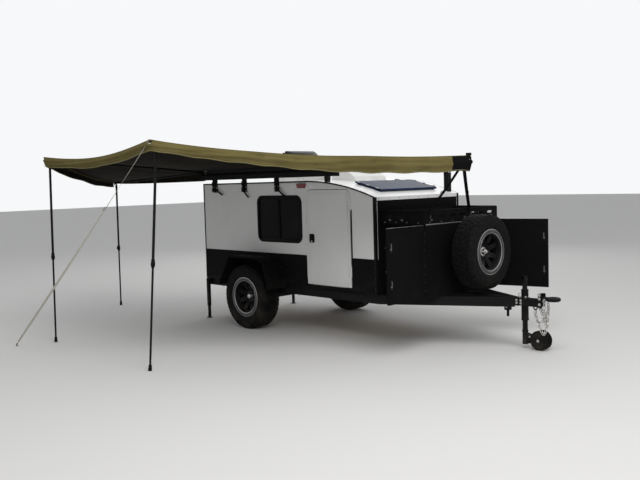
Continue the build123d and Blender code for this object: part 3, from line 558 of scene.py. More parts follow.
def make(form, name, finish, bevel=0.0, slot=None, body="trailer", crease=38.0):
    work = bmesh.new()
    corners = [work.verts.new(at(*point)) for point in form.points]
    for face in form.faces:
        if len(set(face)) > 2:
            work.faces.new([corners[index] for index in face])
    bmesh.ops.remove_doubles(work, verts=work.verts, dist=meshing["merge"])
    bmesh.ops.recalc_face_normals(work, faces=work.faces)
    if bevel:
        sharp = [edge for edge in work.edges
            if len(edge.link_faces) == 2 and edge.calc_face_angle(0) > meshing["bevelAngle"]]
        bmesh.ops.bevel(work, geom=sharp, offset=bevel, segments=meshing["bevelSegments"],
            profile=meshing["bevelProfile"], affect="EDGES", clamp_overlap=True)
    mesh = bpy.data.meshes.new(name)
    work.to_mesh(mesh)
    work.free()
    mesh.shade_smooth()
    mesh.set_sharp_from_angle(angle=radians(crease))
    mesh.materials.append(finishes[finish])
    piece = bpy.data.objects.new(name, mesh)
    scene.collection.objects.link(piece)
    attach(piece, body)
    return piece


def makeAll(forms, rows):  # each row: name, finish, bevel, slot, body, crease
    for form, row in zip(forms, rows):
        make(form, *row)


def roundedCorners(x, z, radius, steps=8):
    # a rounded rectangle's outline, counted against the clock
    centres = ((x[1] - radius, z[0] + radius, -90), (x[1] - radius, z[1] - radius, 0),
        (x[0] + radius, z[1] - radius, 90), (x[0] + radius, z[0] + radius, 180))
    outline = []
    for middleX, middleZ, first in centres:
        for step in range(steps + 1):
            turn = radians(first + 90 * step / steps)
            outline.append((middleX + radius * cos(turn), middleZ + radius * sin(turn)))
    return outline


def roundedBand(form, x, z, radius, width, y, steps=8):
    # a band of even width inside a rounded rectangle, between two y places
    outer = roundedCorners(x, z, radius, steps)
    inner = roundedCorners((x[0] + width, x[1] - width), (z[0] + width, z[1] - width), radius - width,
        steps)
    return form.collar("y", outer, inner, *y)


def archPath(points, steps=10):
    # a smooth line through the points
    points = [Vector(point) for point in points]
    path = []
    for index in range(len(points) - 1):
        before = points[max(index - 1, 0)]
        first, last = points[index], points[index + 1]
        after = points[min(index + 2, len(points) - 1)]
        for step in range(steps):
            t = step / steps
            path.append(0.5 * (2 * first + (last - before) * t + (2 * before - 5 * first + 4 * last
                - after) * t * t + (3 * first - before - 3 * last + after) * t**3))
    return path + [points[-1]]


# Wheels, drawn about the y axis with their outside towards -y, then set in place
tyreSizes = {"radius": 0.408, "steps": 112, "pitches": 42, "grooveDepth": 0.013, "crown": 0.005,
             "crownEdge": 0.108, "blockStart": 0.07, "blockEvery": 0.29, "blockLength": 0.275}
tyreWall = (  # distance outwards from the middle, radius
    (0.0, 0.396), (0.04, 0.396), (0.08, 0.3945), (0.102, 0.392), (0.114, 0.386), (0.1225, 0.374),
    (0.128, 0.356), (0.1312, 0.336), (0.1325, 0.314), (0.1322, 0.3), (0.129, 0.286), (0.13, 0.282),
    (0.1265, 0.27), (0.12, 0.258), (0.113, 0.2495), (0.107, 0.244), (0.107, 0.2166), (0.085, 0.2166),
    (0.1, 0.29), (0.105, 0.33), (0.095, 0.372), (0.0, 0.38),
)
treadRows = (  # from, to, skew of the block's ends, start within the pitch
    (-0.031, -0.003, 0.3, 0.0), (0.003, 0.031, -0.3, 0.5), (-0.068, -0.037, -0.22, 0.25),
    (0.037, 0.068, 0.22, 0.75), (-0.108, -0.074, 0.12, 0.0), (0.074, 0.108, -0.12, 0.5),
)
wheelPlaces = {  # body, centre, turn about the upright axis, whether mirrored
    "right": ("right_wheel", (1.162, -0.9095, 0.408), 0.0, False),
    "left": ("left_wheel", (1.162, 0.9095, 0.408), 0.0, True),
    "spare": ("trailer", (4.0495, 0.0, 1.027), 90.0, False),
}
allWheels, roadWheels = ("right", "left", "spare"), ("right", "left")


def aroundWheel(out, angle, radius):  # a point on the wheel; out is towards -y
    return Vector((radius * cos(angle), -out, radius * sin(angle)))


def makeTyre(sizes):
    form, turns = Form(), around(sizes["steps"])
    whole = list(tyreWall) + [(-out, radius) for out, radius in reversed(tyreWall[1:-1])]
    form.loft([[aroundWheel(out, angle, radius) for angle in turns] for out, radius in whole], False, True)
    pitch = tau / sizes["pitches"]
    for low, high, skew, start in treadRows:
        middle, lean = (low + high) / 2, pitch * skew
        for index in range(sizes["pitches"]):
            for part in range(3):  # thin cuts split each block in three
                begin = (index + start) * pitch + pitch * (sizes["blockStart"] + sizes["blockEvery"] * part)
                end = begin + pitch * sizes["blockLength"]
                centre = (begin + end) / 2 + lean * 0.5
                outline = [(low, begin), (middle, begin + lean * 0.6), (high, begin + lean),
                    (high, end + lean), (middle, end + lean * 0.6), (low, end)]
                rings = []
                for rise, shrink in ((-0.004, 0.0), (sizes["grooveDepth"] - 0.0015, 0.0),
                        (sizes["grooveDepth"], 0.0012)):
                    ring = []
                    for out, angle in outline:
                        drop = sizes["crown"] * (out / sizes["crownEdge"]) ** 2
                        radius = min(sizes["radius"] - sizes["grooveDepth"] - drop + rise,
                            sizes["radius"] - 0.0002)
                        near = (centre - angle) * shrink * 20
                        ring.append(aroundWheel(out + (middle - out) * shrink * 30, angle + near, radius))
                    rings.append(ring)
                form.loft(rings)
    for index in range(sizes["pitches"]):  # lugs that run down the shoulders, long and short by turns
        reach, width = (0.352, 0.62) if index % 2 else (0.362, 0.5)
        section = [(0.102, 0.4015), (0.1165, 0.3925), (0.1262, 0.378), (0.131, reach + 0.004),
            (0.13, reach), (0.118, reach + 0.004), (0.108, 0.38)]
        for side in (-1, 1):
            angle = (index + (0.0 if side < 0 else 0.5)) * pitch
            ends = (angle + pitch * 0.1, angle + pitch * (0.1 + width))
            form.loft([[aroundWheel(side * out, turn, radius) for out, radius in section] for turn in ends])
    for radius, out in ((0.3195, 0.1325), (0.2905, 0.1305)):  # thin raised rings on the sidewall
        ring = [(out - 0.003, radius - 0.003), (out, radius - 0.0015), (out, radius + 0.0015),
            (out - 0.003, radius + 0.003)]
        for side in (-1, 1):
            form.loft([[aroundWheel(side * a, angle, b) for angle in turns] for a, b in ring], False, True)
    return form


rimSizes = {"ringBolts": 24, "nutRadius": 0.0605, "nuts": 6, "ribs": 8}


def makeRimLips():  # bright turned lips at the ring's two edges
    form = Form().turned([(0.1216, 0.2436), (0.1224, 0.2448), (0.1204, 0.2496), (0.115, 0.2506),
        (0.111, 0.2506), (0.111, 0.248), (0.118, 0.245)], origin, rightward, 96, True)
    return form.turned([(0.11, 0.203), (0.119, 0.2034), (0.1218, 0.2064), (0.1222, 0.2096),
        (0.1212, 0.2102), (0.118, 0.207)], origin, rightward, 96, True)


def makeRimRing():  # the clamping ring with its step
    return Form().turned([(0.1153, 0.204), (0.119, 0.2045), (0.1208, 0.2075), (0.1212, 0.218),
        (0.1196, 0.2195), (0.1196, 0.2225), (0.1212, 0.224), (0.1214, 0.244), (0.1192, 0.249),
        (0.114, 0.25), (0.1085, 0.25), (0.1085, 0.2362), (0.1153, 0.2362)], origin, rightward, 96, True)


def makeRingBolts(sizes):
    form = Form()
    for angle in around(sizes["ringBolts"], 0.5):
        place = aroundWheel(0.1205, angle, 0.2345)
        form.turned([(0, 0.0042), (0.0028, 0.0042), (0.0034, 0.0034), (0.0034, 0.0022), (0.0012, 0.0018),
            (0.0012, 0)], place, rightward, 8)
    return form


def makeRimDetail(sizes):  # spoke ribs, inner step and valve
    form = Form()
    lift = Vector((0, -0.006, 0))
    for angle in around(sizes["ribs"], 0.5):
        angle += pi / 2
        rings = []
        for out, radius in ((0.014, 0.08), (0.03, 0.094), (0.052, 0.112), (0.06, 0.148), (0.07, 0.182)):
            spot = aroundWheel(out, angle, radius)
            across = Vector((-sin(angle), 0, cos(angle))) * (0.01 + 0.02 * (radius - 0.08))
            rings.append([spot - across, spot - across * 0.6 + lift, spot + across * 0.6 + lift,
                spot + across])
        form.loft(rings)
    form.turned([(0.098, 0.1885), (0.104, 0.196), (0.115, 0.204), (0.115, 0.201), (0.106, 0.193),
        (0.1, 0.1865)], origin, rightward, 72, True)
    form.turned([(0.0105, 0.052), (0.0145, 0.052), (0.0155, 0.05), (0.0155, 0.04), (0.0105, 0.0385)],
        origin, rightward, 40, True)
    valve = aroundWheel(0.074, 0.4, 0.176)
    return form.turned([(-0.01, 0.005), (0.014, 0.005), (0.016, 0.004), (0.026, 0.004), (0.027, 0.0)],
        valve, (-cos(0.4) * 0.5, -1, -sin(0.4) * 0.5), 10)


def makeNuts(sizes):
    form = Form()
    for angle in around(sizes["nuts"], 0.25):
        place = aroundWheel(0.012, angle, sizes["nutRadius"])
        form.turned([(0, 0.0115), (0.004, 0.0115)], place, rightward, 14)
        form.turned([(0.003, 0.0098), (0.016, 0.0098), (0.02, 0.008), (0.023, 0.004), (0.0235, 0)], place,
            rightward, 6)
    return form


def makeHubCap():  # the pressed dust cap over the bearing
    return Form().turned([(0.018, 0.0345), (0.025, 0.035), (0.026, 0.036), (0.0285, 0.036), (0.03, 0.0345),
        (0.048, 0.033), (0.056, 0.029), (0.06, 0.022), (0.0615, 0.011), (0.0615, 0.01), (0.06, 0.0085),
        (0.06, 0)], origin, rightward, 36)


def makeSpareLock():  # the spare's hub nut with its lock bar
    form = Form().turned([(0.012, 0.052), (0.018, 0.052), (0.02, 0.048), (0.02, 0.03), (0.046, 0.028),
        (0.05, 0.024), (0.05, 0.0)], origin, rightward, 32)
    form.turned([(0.046, 0.017), (0.062, 0.017), (0.066, 0.013), (0.066, 0)], origin, rightward, 6)
    form.tube([(-0.118, -0.056, 0.012), (-0.05, -0.058, 0.006), (0.028, -0.058, 0.0)], 0.0075, 10)
    return form.turned([(-0.016, 0.0), (-0.014, 0.01), (0.014, 0.01), (0.016, 0.0)],
        (-0.118, -0.056, 0.012), (1, 0, -0.1), 12)


wheelParts = {  # form, finish, record slot, bevel, which wheels
    "Tyre": (makeTyre(tyreSizes), "rubber", "tyre_rubber", 0.0, allWheels),
    "RimRing": (makeRimRing(), "ringGrey", "wheel_grey", 0.0, allWheels),
    "RimLips": (makeRimLips(), "machined", "wheel_grey", 0.0, allWheels),
    "RingBolts": (makeRingBolts(rimSizes), "castIron", "wheel_grey", 0.0, allWheels),
    "RimDetail": (makeRimDetail(rimSizes), "rimDark", "wheel_grey", 0.0, allWheels),
    "WheelNuts": (makeNuts(rimSizes), "castIron", "hub_iron", 0.0, roadWheels),
    "HubCap": (makeHubCap(), "zinc", "hub_iron", 0.0, roadWheels),
    "LockNut": (makeSpareLock(), "zinc", "zinc_steel", 0.0008, ("spare",)),
}
for part, (shape, finish, slot, bevel, wheels) in wheelParts.items():
    for wheel in wheels:
        body, centre, turn, flipped = wheelPlaces[wheel]
        move = Matrix.Translation(centre) @ Matrix.Rotation(radians(turn), 4, "Z")
        if flipped:
            move = move @ flipSide
        piece = make(Form().merge(shape, move), wheel + part, finish, bevel, slot=slot, body=body)
        if part == "Tyre":
            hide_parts(wheel + "_tyre")
print("wheels made")


# Body trim: edge extrusions, two-tone moulding, front ribs and their fixings
trimSizes = {"half": 0.762, "bottom": 0.56, "top": 1.854, "nose": 1.654, "flat": 2.05, "front": 3.18,
             "twoTone": 0.955, "edgeWidth": 0.016, "proud": 0.004, "frontWidth": 0.03, "rearWidth": 0.018}


def roofLine(sizes, steps=26):  # the roof's outside from the rear to the nose
    length, drop = sizes["front"] - sizes["flat"], sizes["top"] - sizes["nose"]
    radius = (length**2 + drop**2) / (2 * drop)
    arc = [sizes["flat"] + length * step / steps for step in range(steps + 1)]
    return [(0.0, sizes["top"])] + [(x, sizes["top"] - radius + sqrt(radius**2 - (x - sizes["flat"])**2))
        for x in arc]


def makeRoofTrim(sizes):
    form, width, side = Form(), sizes["edgeWidth"], -sizes["half"]
    rings = []
    for x, z in roofLine(sizes):
        section = [(side + 0.001, z + 0.0005), (side - sizes["proud"], z + 0.0005),
            (side - sizes["proud"] - 0.001, z - 0.004), (side - sizes["proud"], z - width),
            (side, z - width - 0.001)]
        rings.append([(x, y, height) for y, height in section])
    form.loft(rings)
    return form.mirrored()


def makeCornerTrim(sizes):
    side, out, form = -sizes["half"], sizes["proud"], Form()
    for x, low, high in (((sizes["front"] - sizes["frontWidth"], sizes["front"] + 0.003), sizes["bottom"],
            sizes["nose"] - 0.002), ((-0.003, sizes["rearWidth"]), sizes["bottom"], sizes["top"] - 0.002)):
        form.block(x, (side - out, side), (low, high))
    for x in ((sizes["front"], sizes["front"] + 0.003), (-0.003, 0.0)):  # the angle's other leg
        low = sizes["bottom"]
        high = (sizes["nose"] if x[0] > 1 else sizes["top"]) - 0.002
        form.block(x, (side - out, side + 0.028), (low, high))
    for x in ((0.018, 2.052), (2.812, 3.15)):  # the sill and the moulding between white and black
        form.block(x, (side - 0.003, side), (sizes["bottom"] - 0.001, sizes["bottom"] + 0.02))
        form.block(x, (side - 0.0035, side), (sizes["twoTone"] - 0.004, sizes["twoTone"] + 0.005))
    form.block((2.052, 2.812), (side - 0.003, side), (sizes["bottom"] - 0.001, sizes["bottom"] + 0.02))
    return form.mirrored()


def makeTrimScrews(sizes):
    form, side = Form(), -sizes["half"] - sizes["proud"]
    line = roofLine(sizes, 40)
    for x, z in [(place, sizes["top"]) for place in spread(0.12, 2.0, 13)] + line[3::5]:
        form.turned([(0, 0.0042), (0.0012, 0.0038), (0.002, 0.0022), (0.002, 0)],
            (x, side - 0.0005, z - 0.01), rightward, 8)
    for z in spread(0.62, 1.6, 9):
        form.turned([(0, 0.0042), (0.0012, 0.0038), (0.002, 0)], (3.166, side, z), rightward, 8)
        form.turned([(0, 0.0038), (0.0012, 0.0034), (0.002, 0)], (0.009, side, z), rightward, 8)
    return form.mirrored()


def makeGutter(sizes):  # the lip under the white fascia
    front, height = sizes["front"] + 0.003, sizes["nose"] - 0.044
    return Form().tube([(front, -0.758, height), (front, 0.758, height)], 0.0035, 8)


def makeFrontRibs(sizes):  # the corrugated panel above the tray
    form, front = Form(), sizes["front"]
    for y in spread(-0.712, 0.712, 61):
        form.loft([[(front - 0.001, y - 0.0075, z), (front + 0.0105, y - 0.0045, z),
            (front + 0.0105, y + 0.0045, z), (front - 0.001, y + 0.0075, z)] for z in (1.503, 1.597)])
    form.block((front - 0.001, front + 0.006), (-0.722, 0.722), (1.597, 1.6085))
    return form


def makeFasciaGasket(sizes):
    form, front = Form(), sizes["front"]
    form.block((front - 0.002, front + 0.0035), (-0.757, 0.757), (1.6065, 1.6105))
    for y in spread(-0.7, 0.7, 9):
        form.turned([(0, 0.005), (0.0015, 0.0045), (0.0026, 0.0025), (0.0026, 0)], (front, y, 1.632),
            forward, 10)
    return form


make(makeRoofTrim(trimSizes), "roofEdgeTrim", "blackPlastic", crease=50)
make(makeCornerTrim(trimSizes), "cornerTrim", "blackPlastic", 0.0012)
make(makeTrimScrews(trimSizes), "trimScrews", "castIron", slot="black_trim")
make(makeFrontRibs(trimSizes), "frontRibs", "texturedBlack", 0.001)
make(makeFasciaGasket(trimSizes), "fasciaGasket", "seal", 0.0006)
make(makeGutter(trimSizes), "roofGutter", "blackPlastic")


# Side windows: seal, sliding sash, rails, catch and the blind behind the glass
windowSizes = {"x": (1.165, 1.97), "z": (1.115, 1.665), "radius": 0.075, "side": bodySide}


def makeWindowSeals(sizes):
    form = Form()
    x, z, side = sizes["x"], sizes["z"], sizes["side"]
    grow = 0.014
    roundedBand(form, (x[0] - grow - 0.005, x[1] + grow + 0.005),
        (z[0] - grow - 0.005, z[1] + grow + 0.005), sizes["radius"] + grow + 0.005, 0.006,
        (side - 0.003, side))
    inner = 0.0145
    roundedBand(form, (x[0] + inner, x[1] - inner), (z[0] + inner, z[1] - inner), sizes["radius"] - inner,
        0.005, (side - 0.0085, side - 0.005))
    return form.mirrored()


def makeWindowSash(sizes):
    form = Form()
    x, z, side = sizes["x"], sizes["z"], sizes["side"]
    middle = (x[0] + x[1]) / 2
    for low, high in ((z[0] + 0.016, z[0] + 0.034), (z[1] - 0.034, z[1] - 0.016)):  # rails the sash slides in
        form.block((x[0] + 0.075, x[1] - 0.075), (side - 0.0078, side - 0.0058), (low, high))
    form.block((middle - 0.022, middle - 0.009), (side - 0.0085, side - 0.0058),
        (z[0] + 0.034, z[1] - 0.034))
    form.block((middle + 0.009, middle + 0.016), (side - 0.0072, side - 0.0058),
        (z[0] + 0.034, z[1] - 0.034))
    catch = (z[0] + z[1]) / 2
    form.block((middle - 0.034, middle - 0.022), (side - 0.0095, side - 0.0058),
        (catch - 0.03, catch + 0.03))
    for step in range(4):
        place = catch - 0.018 + step * 0.012
        form.block((middle - 0.032, middle - 0.024), (side - 0.0105, side - 0.009),
            (place - 0.002, place + 0.002))
    return form.mirrored()


def makeWindowInside(sizes):  # trim ring and rolled blind inside the cabin
    form = Form()
    x, z = sizes["x"], sizes["z"]
    roundedBand(form, (x[0] - 0.022, x[1] + 0.022), (z[0] - 0.022, z[1] + 0.022), sizes["radius"] + 0.022,
        0.034, (-0.7235, -0.716))
    form.tube([(x[0] + 0.03, -0.706, z[1] - 0.012), (x[1] - 0.03, -0.706, z[1] - 0.012)], 0.014, 14)
    return form.mirrored()


make(makeWindowSeals(windowSizes), "windowSeals", "seal", 0.001)
make(makeWindowSash(windowSizes), "windowSashes", "blackPlastic", 0.0008)
make(makeWindowInside(windowSizes), "windowBlinds", "blackPlastic", 0.001)


# Side doors
doorSizes = {"x": (2.066, 2.799), "z": (0.616, 1.742), "radius": 0.084, "side": bodySide,
    "latch": (2.114, 2.197, 1.114, 1.219)}


def makeDoorSeal(sizes):  # bulb seal on the door's edge, inside the gap
    form = Form()
    roundedBand(form, (sizes["x"][0] - 0.0035, sizes["x"][1] + 0.0035),
        (sizes["z"][0] - 0.0035, sizes["z"][1] + 0.0035), sizes["radius"] + 0.0035, 0.006, (-0.752, -0.738),
        10)
    return form


def makeDoorMoulding(sizes):  # raised bead beside the frame and a second bead on the panel
    form, side = Form(), sizes["side"]
    x, z, radius = sizes["x"], sizes["z"], sizes["radius"]
    roundedBand(form, (x[0] + 0.04, x[1] - 0.04), (z[0] + 0.04, z[1] - 0.04), radius - 0.036, 0.006,
        (side - 0.0048, side + 0.0005), 10)
    roundedBand(form, (x[0] + 0.0005, x[1] - 0.0005), (z[0] + 0.0005, z[1] - 0.0005), radius, 0.0065,
        (side - 0.0085, side - 0.003), 10)
    return form


def makeDoorCorners(sizes):  # the skin is square at its foot, over the rounded opening
    form, side, radius = Form(), sizes["side"], sizes["radius"]
    (x0, x1), z0 = sizes["x"], sizes["z"][0]
    for x, way in ((x0, 1), (x1, -1)):
        arc = [(x + way * (radius - radius * cos(turn)), z0 + radius - radius * sin(turn))
            for turn in (radians(90 * step / 10) for step in range(11))]
        outline = arc + [(x + way * 0.01, z0), (x + way * 0.003, z0 + 0.003), (x, z0 + 0.01)]
        form.slab("y", outline, (side - 0.0006, side - 0.003))
    return form


def makeDoorLatch(sizes):
    form, side = Form(), sizes["side"]
    x0, x1, z0, z1 = sizes["latch"]
    form.plate([(x - x0, z - z0) for x, z in roundedCorners((x0, x1), (z0, z1), 0.014, 5)],
        (x0, side - 0.0001, z0), forward, upward, 0.007)
    roundedBand(form, (x0 + 0.008, x1 - 0.008), (z0 + 0.03, z1 - 0.008), 0.01, 0.005,
        (side - 0.0105, side - 0.006), 5)
    x0, x1 = x0 + 0.016, x1 - 0.016
    rings = []
    for step in (0, 0.5, 1):  # the paddle, thicker towards its top
        face, z = side - 0.011 - 0.004 * step, z0 + 0.04 + step * 0.04
        rings.append([(x0, side - 0.0065, z), (x1, side - 0.0065, z), (x1, face, z), (x0, face, z)])
    form.loft(rings)
    return form


def makeDoorLock(sizes):
    form, side = Form(), sizes["side"]
    x0, x1, z0, z1 = sizes["latch"]
    middle = (x0 + x1) / 2
    form.turned([(0, 0.0105), (0.003, 0.0105), (0.0042, 0.0092), (0.0042, 0.0072), (0.003, 0.0068),
        (0.003, 0)], (middle, side - 0.007, z0 + 0.017), rightward, 24)
    form.block((middle - 0.0008, middle + 0.0008), (side - 0.0108, side - 0.0098),
        (z0 + 0.0125, z0 + 0.0215))
    for x in (x0 + 0.008, x1 - 0.008):
        for z in (z0 + 0.008, z1 - 0.0045):
            form.turned([(0, 0.003), (0.0012, 0.0026), (0.0016, 0)], (x, side - 0.007, z), rightward, 8)
    return form


def makeDoorLining(sizes):  # inner skin with its pocket
    form = Form()
    x, z = (sizes["x"][0] + 0.03, sizes["x"][1] - 0.03), (sizes["z"][0] + 0.03, sizes["z"][1] - 0.03)
    outline = roundedCorners(x, z, sizes["radius"] - 0.03, 8)
    form.slab("y", outline, (-0.7245, -0.7215))
    pocket = [(2.2, 0.8), (2.66, 0.8), (2.68, 1.04), (2.18, 1.04)]
    form.loft([[(a, -0.722, b) for a, b in pocket],
        [(a + (2.43 - a) * 0.05, -0.706, b + 0.005) for a, b in pocket]])
    return form


def makeDoorPull():  # inside pull and catch
    form = Form()
    form.tube(archPath([(2.15, -0.722, 1.08), (2.15, -0.7, 1.1), (2.15, -0.7, 1.22), (2.15, -0.722, 1.24)],
        6), 0.007, 10)
    for z in ((1.035, 1.075), (1.245, 1.275)):
        form.block((2.125, 2.175), (-0.7225, -0.716), z)
    return form


def makeHingeScrews():
    form = Form()
    for low in (0.74, 1.498):
        for z in (low + 0.018, low + 0.06, low + 0.102):
            form.turned([(0, 0.0045), (0.0014, 0.004), (0.002, 0)], (2.784, -0.7703, z), rightward, 10)
    return form


for side, flip in (("right", None), ("left", flipSide)):
    doorParts = {  # form, finish, record slot, bevel
        "DoorSeal": (makeDoorSeal(doorSizes), "seal", "black_trim", 0.0015),
        "DoorMoulding": (makeDoorMoulding(doorSizes), "whitePaint", "white_paint", 0.0012),
        "DoorCorners": (makeDoorCorners(doorSizes), "whitePaint", "white_paint", 0.0),
        "DoorLatch": (makeDoorLatch(doorSizes), "blackPlastic", "black_trim", 0.0012),
        "DoorLock": (makeDoorLock(doorSizes), "zinc", "zinc_steel", 0.0),
        "DoorLining": (makeDoorLining(doorSizes), "lining", "white_paint", 0.0012),
        "DoorPull": (makeDoorPull(), "blackPlastic", "black_trim", 0.001),
        "HingeScrews": (makeHingeScrews(), "castIron", "black_trim", 0.0),
    }
    for part, (shape, finish, slot, bevel) in doorParts.items():
        make(Form().merge(shape, flip), side + part, finish, bevel, slot=slot, body=side + "_door")


def makeHingeStrips():  # a rubber strip beside each door's hinges
    form = Form()
    form.loft([[(2.8075, bodySide, z), (2.8085, -0.77, z), (2.818, -0.77, z), (2.823, bodySide, z)]
        for z in (0.655, 1.512)])
    return form.mirrored()


def makeSillPlates():
    form = Form()
    form.block((2.15, 2.715), (-0.7622, -0.726), (0.6095, 0.6115))
    for x in spread(2.17, 2.7, 9):
        form.tube([(x, -0.756, 0.6122), (x, -0.73, 0.6122)], 0.0022, 6)
    return form.mirrored()


make(makeHingeStrips(), "hingeStrips", "blackPlastic", 0.0008)
make(makeSillPlates(), "sillPlates", "machined", 0.0004)
print("body details made")


# Awning: one continuous sheet between the arms, with a hanging edge
awningSizes = {
    "rearPost": (0.13, -0.86, 2.02), "frontPost": (2.27, -0.86, 2.02), "lift": 0.0035,
    "corners": ((-2.1, -0.94, 1.916), (-0.01, -3.05, 2.216), (2.27, -3.03, 2.296), (2.98, -2.29, 2.15),
                (3.76, -1.53, 2.075), (4.62, -1.0, 2.045)),
    "steps": (26, 26, 12, 12, 12), "rows": 20, "hangRows": 10, "sag": (0.07, 0.085, 0.012, 0.014, 0.01),
    "pull": (0.06, 0.05, 0.01, 0.012, 0.01), "hang": (0.075, 0.11, 0.105, 0.128, 0.165, 0.145),
    "flapDrop": 0.185,
}


def awningEdge(sizes):
    # columns along the outer edge: outer point, inner point, sag, hang and place along its panel
    rear, front = Vector(sizes["rearPost"]), Vector(sizes["frontPost"])
    corners = [Vector(corner) for corner in sizes["corners"]]
    columns = []
    for panel, count in enumerate(sizes["steps"]):
        first, last = corners[panel], corners[panel + 1]
        for step in range(count + (panel == len(sizes["steps"]) - 1)):
            t = step / count
            outer = first.lerp(last, t)
            inner = (rear, rear.lerp(front, t), front, front, front)[panel]
            inward = (inner - outer).normalized()
            curve = sin(pi * t)
            outer = outer + Vector((inward.x, inward.y, 0)) * sizes["pull"][panel] * curve
            nextHang = sizes["hang"][min(panel + 1, len(sizes["hang"]) - 1)]
            hang = sizes["hang"][panel] + (nextHang - sizes["hang"][panel]) * t
            columns.append((outer, inner, sizes["sag"][panel] * curve, hang, panel + t))
    return columns


def awningPoint(sizes, column, reach):  # reach 0 at the post, 1 at the edge, more than 1 on the hanging edge
    outer, inner, sag, hang, place = column
    part = min(reach, 1.0)
    point = inner.lerp(outer, part)
    ripple = 0.004 * sin(place * 9.0 + part * 5.0) + 0.003 * sin(place * 23.0 - part * 11.0)
    belly = sin(pi * part) * 0.25 * sag
    flutter = ripple * min(1.0, sag * 30) * sin(pi * part)
    point.z += sizes["lift"] - sag * part * (1.5 - 0.5 * part) - belly + flutter
    if reach > 1.0:
        down = reach - 1.0
        out = outer - inner
        out.z = 0
        out.normalize()
        wave = 0.01 * sin(place * 14.0 + down * 3.0) + 0.006 * sin(place * 37.0 + 1.0)
        bulge = 0.02 * sin(pi * min(1.0, down * 1.1))
        crease = sin(down * 15.0 + place * 4.0 + 1.5 * sin(place * 5.0)) * sin(pi * down)
        bulge += 0.0075 * crease + 0.004 * sin(down * 26.0 - place * 7.0) * sin(pi * down)
        point += out * (bulge + wave * down)
        point.z -= hang * (down ** 1.15) * (1.0 + 0.05 * sin(place * 19.0))
    return point


def addGrid(form, columns):  # an open sheet through columns of points
    height = len(columns[0])
    faces = [(a * height + b, (a + 1) * height + b, (a + 1) * height + b + 1, a * height + b + 1)
        for a in range(len(columns) - 1) for b in range(height - 1)]
    form.add([point for column in columns for point in column], faces)


def makeAwning(sizes):
    columns = awningEdge(sizes)
    reaches = [index / sizes["rows"] for index in range(sizes["rows"])] + [0.985, 1.0]
    reaches += [1 + (index + 1) / sizes["hangRows"] for index in range(sizes["hangRows"])]
    points = [[awningPoint(sizes, column, reach) for reach in reaches] for column in columns]
    form = Form()
    addGrid(form, points)
    # the flap that closes the gap beside the rear arm, sewn to the first column
    first = points[0][:sizes["rows"] + 2]
    rows = 5
    flap = []
    for index, point in enumerate(first):
        drop = sizes["flapDrop"] * (1 - reaches[index]) ** 0.8 + 0.03
        # it laps over the arm, then hangs clear of the pole that folds up below
        column = [point, point + Vector((0, 0.026, 0.0035)), point + Vector((0, 0.056, -0.004))]
        for row in range(1, rows - 1):
            out = 0.06 + 0.008 * sin(index * 1.3) * row / rows
            column.append(point + Vector((0, out, -0.004 - drop * row / rows)))
        flap.append(column)
    addGrid(form, flap)
    piece = make(form, "awningSheet", "canvas", crease=180)
    if sum(polygon.normal.z * polygon.area for polygon in piece.data.polygons) < 0:
        piece.data.flip_normals()
    # the sheet's underside wears the painted shade
    piece.data.materials.append(finishes["shadedUnderside"])
    smooth = piece.modifiers.new("soften", "SUBSURF")
    smooth.levels = smooth.render_levels = 1
    shell = piece.modifiers.new("cloth", "SOLIDIFY")
    shell.thickness = 0.0012
    shell.offset = 0.0
    shell.material_offset = 1
    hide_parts("awning_fabric")
    return piece, columns, points


awningSheet, awningColumns, awningPoints = makeAwning(awningSizes)


def makeTipPocket(sizes, columns):  # black pocket sewn over the cloth at the front arm's tip
    form = Form()
    rings = []
    for index in range(len(columns) - 3, len(columns)):
        outer, inner = columns[index][:2]
        out = Vector((outer.x - inner.x, outer.y - inner.y, 0)).normalized()
        shares = [0.9, 0.94, 0.98, 1.0] + [1 + (row + 1) / sizes["hangRows"]
            for row in range(sizes["hangRows"])]
        skin, back = [], []
        for share in shares:
            point = awningPoint(sizes, columns[index], share)
            lift = Vector((0, 0, 0.003 if share < 1.05 else 0.0))
            shift = Vector((0, 0, 0.0045)) if share < 0.99 else out * 0.0045 + lift
            skin.append(point + shift)
            back.append(point + shift * 0.45)
        rings.append(skin + list(reversed(back)))
    rings.append([point + (Vector(columns[-1][0]) - Vector(columns[-2][0])).normalized() * 0.004
        for point in rings[-1]])
    form.loft(rings)
    tip = Vector(sizes["corners"][-1])
    form.block((tip.x - 0.03, tip.x + 0.006), (tip.y - 0.02, tip.y + 0.022), (tip.z + 0.004, tip.z + 0.03))
    return form


def makeHem(sizes, points, columns):  # folded hem along the hanging edge and tapes over the arms and seams
    hem = Form()
    hem.tube([column[-1] + Vector((0, 0, 0.006)) for column in points], 0.0, 4,
        flat=(0.02, 0.0034, (0, 0.3, 1)))
    tapes = Form()
    starts = [sum(sizes["steps"][:panel]) for panel in range(len(sizes["steps"]) + 1)]
    arms = (starts[0], starts[1], starts[2], starts[5])
    seams = ((starts[0] + starts[1]) // 2, (starts[1] + starts[2]) // 2, starts[3], starts[4])
    for mark in arms + seams:
        line = [awningPoint(sizes, columns[mark], reach) + Vector((0, 0, 0.0022))
            for reach in spread(0.03, 1.0, 22)]
        across = (columns[min(mark + 1, len(columns) - 1)][0] - columns[max(mark - 1, 0)][0]).normalized()
        width = 0.045 if mark in arms else 0.018
        lift = Vector((0, 0, 0.0014))
        tapes.loft([[point + across * width / 2, point - across * width / 2,
            point - across * width / 2 + lift, point + across * width / 2 + lift] for point in line])
    tapes.tube([column[sizes["rows"] + 1] - Vector((0, 0, 0.0015)) for column in points], 0.005, 6)
    return hem, tapes


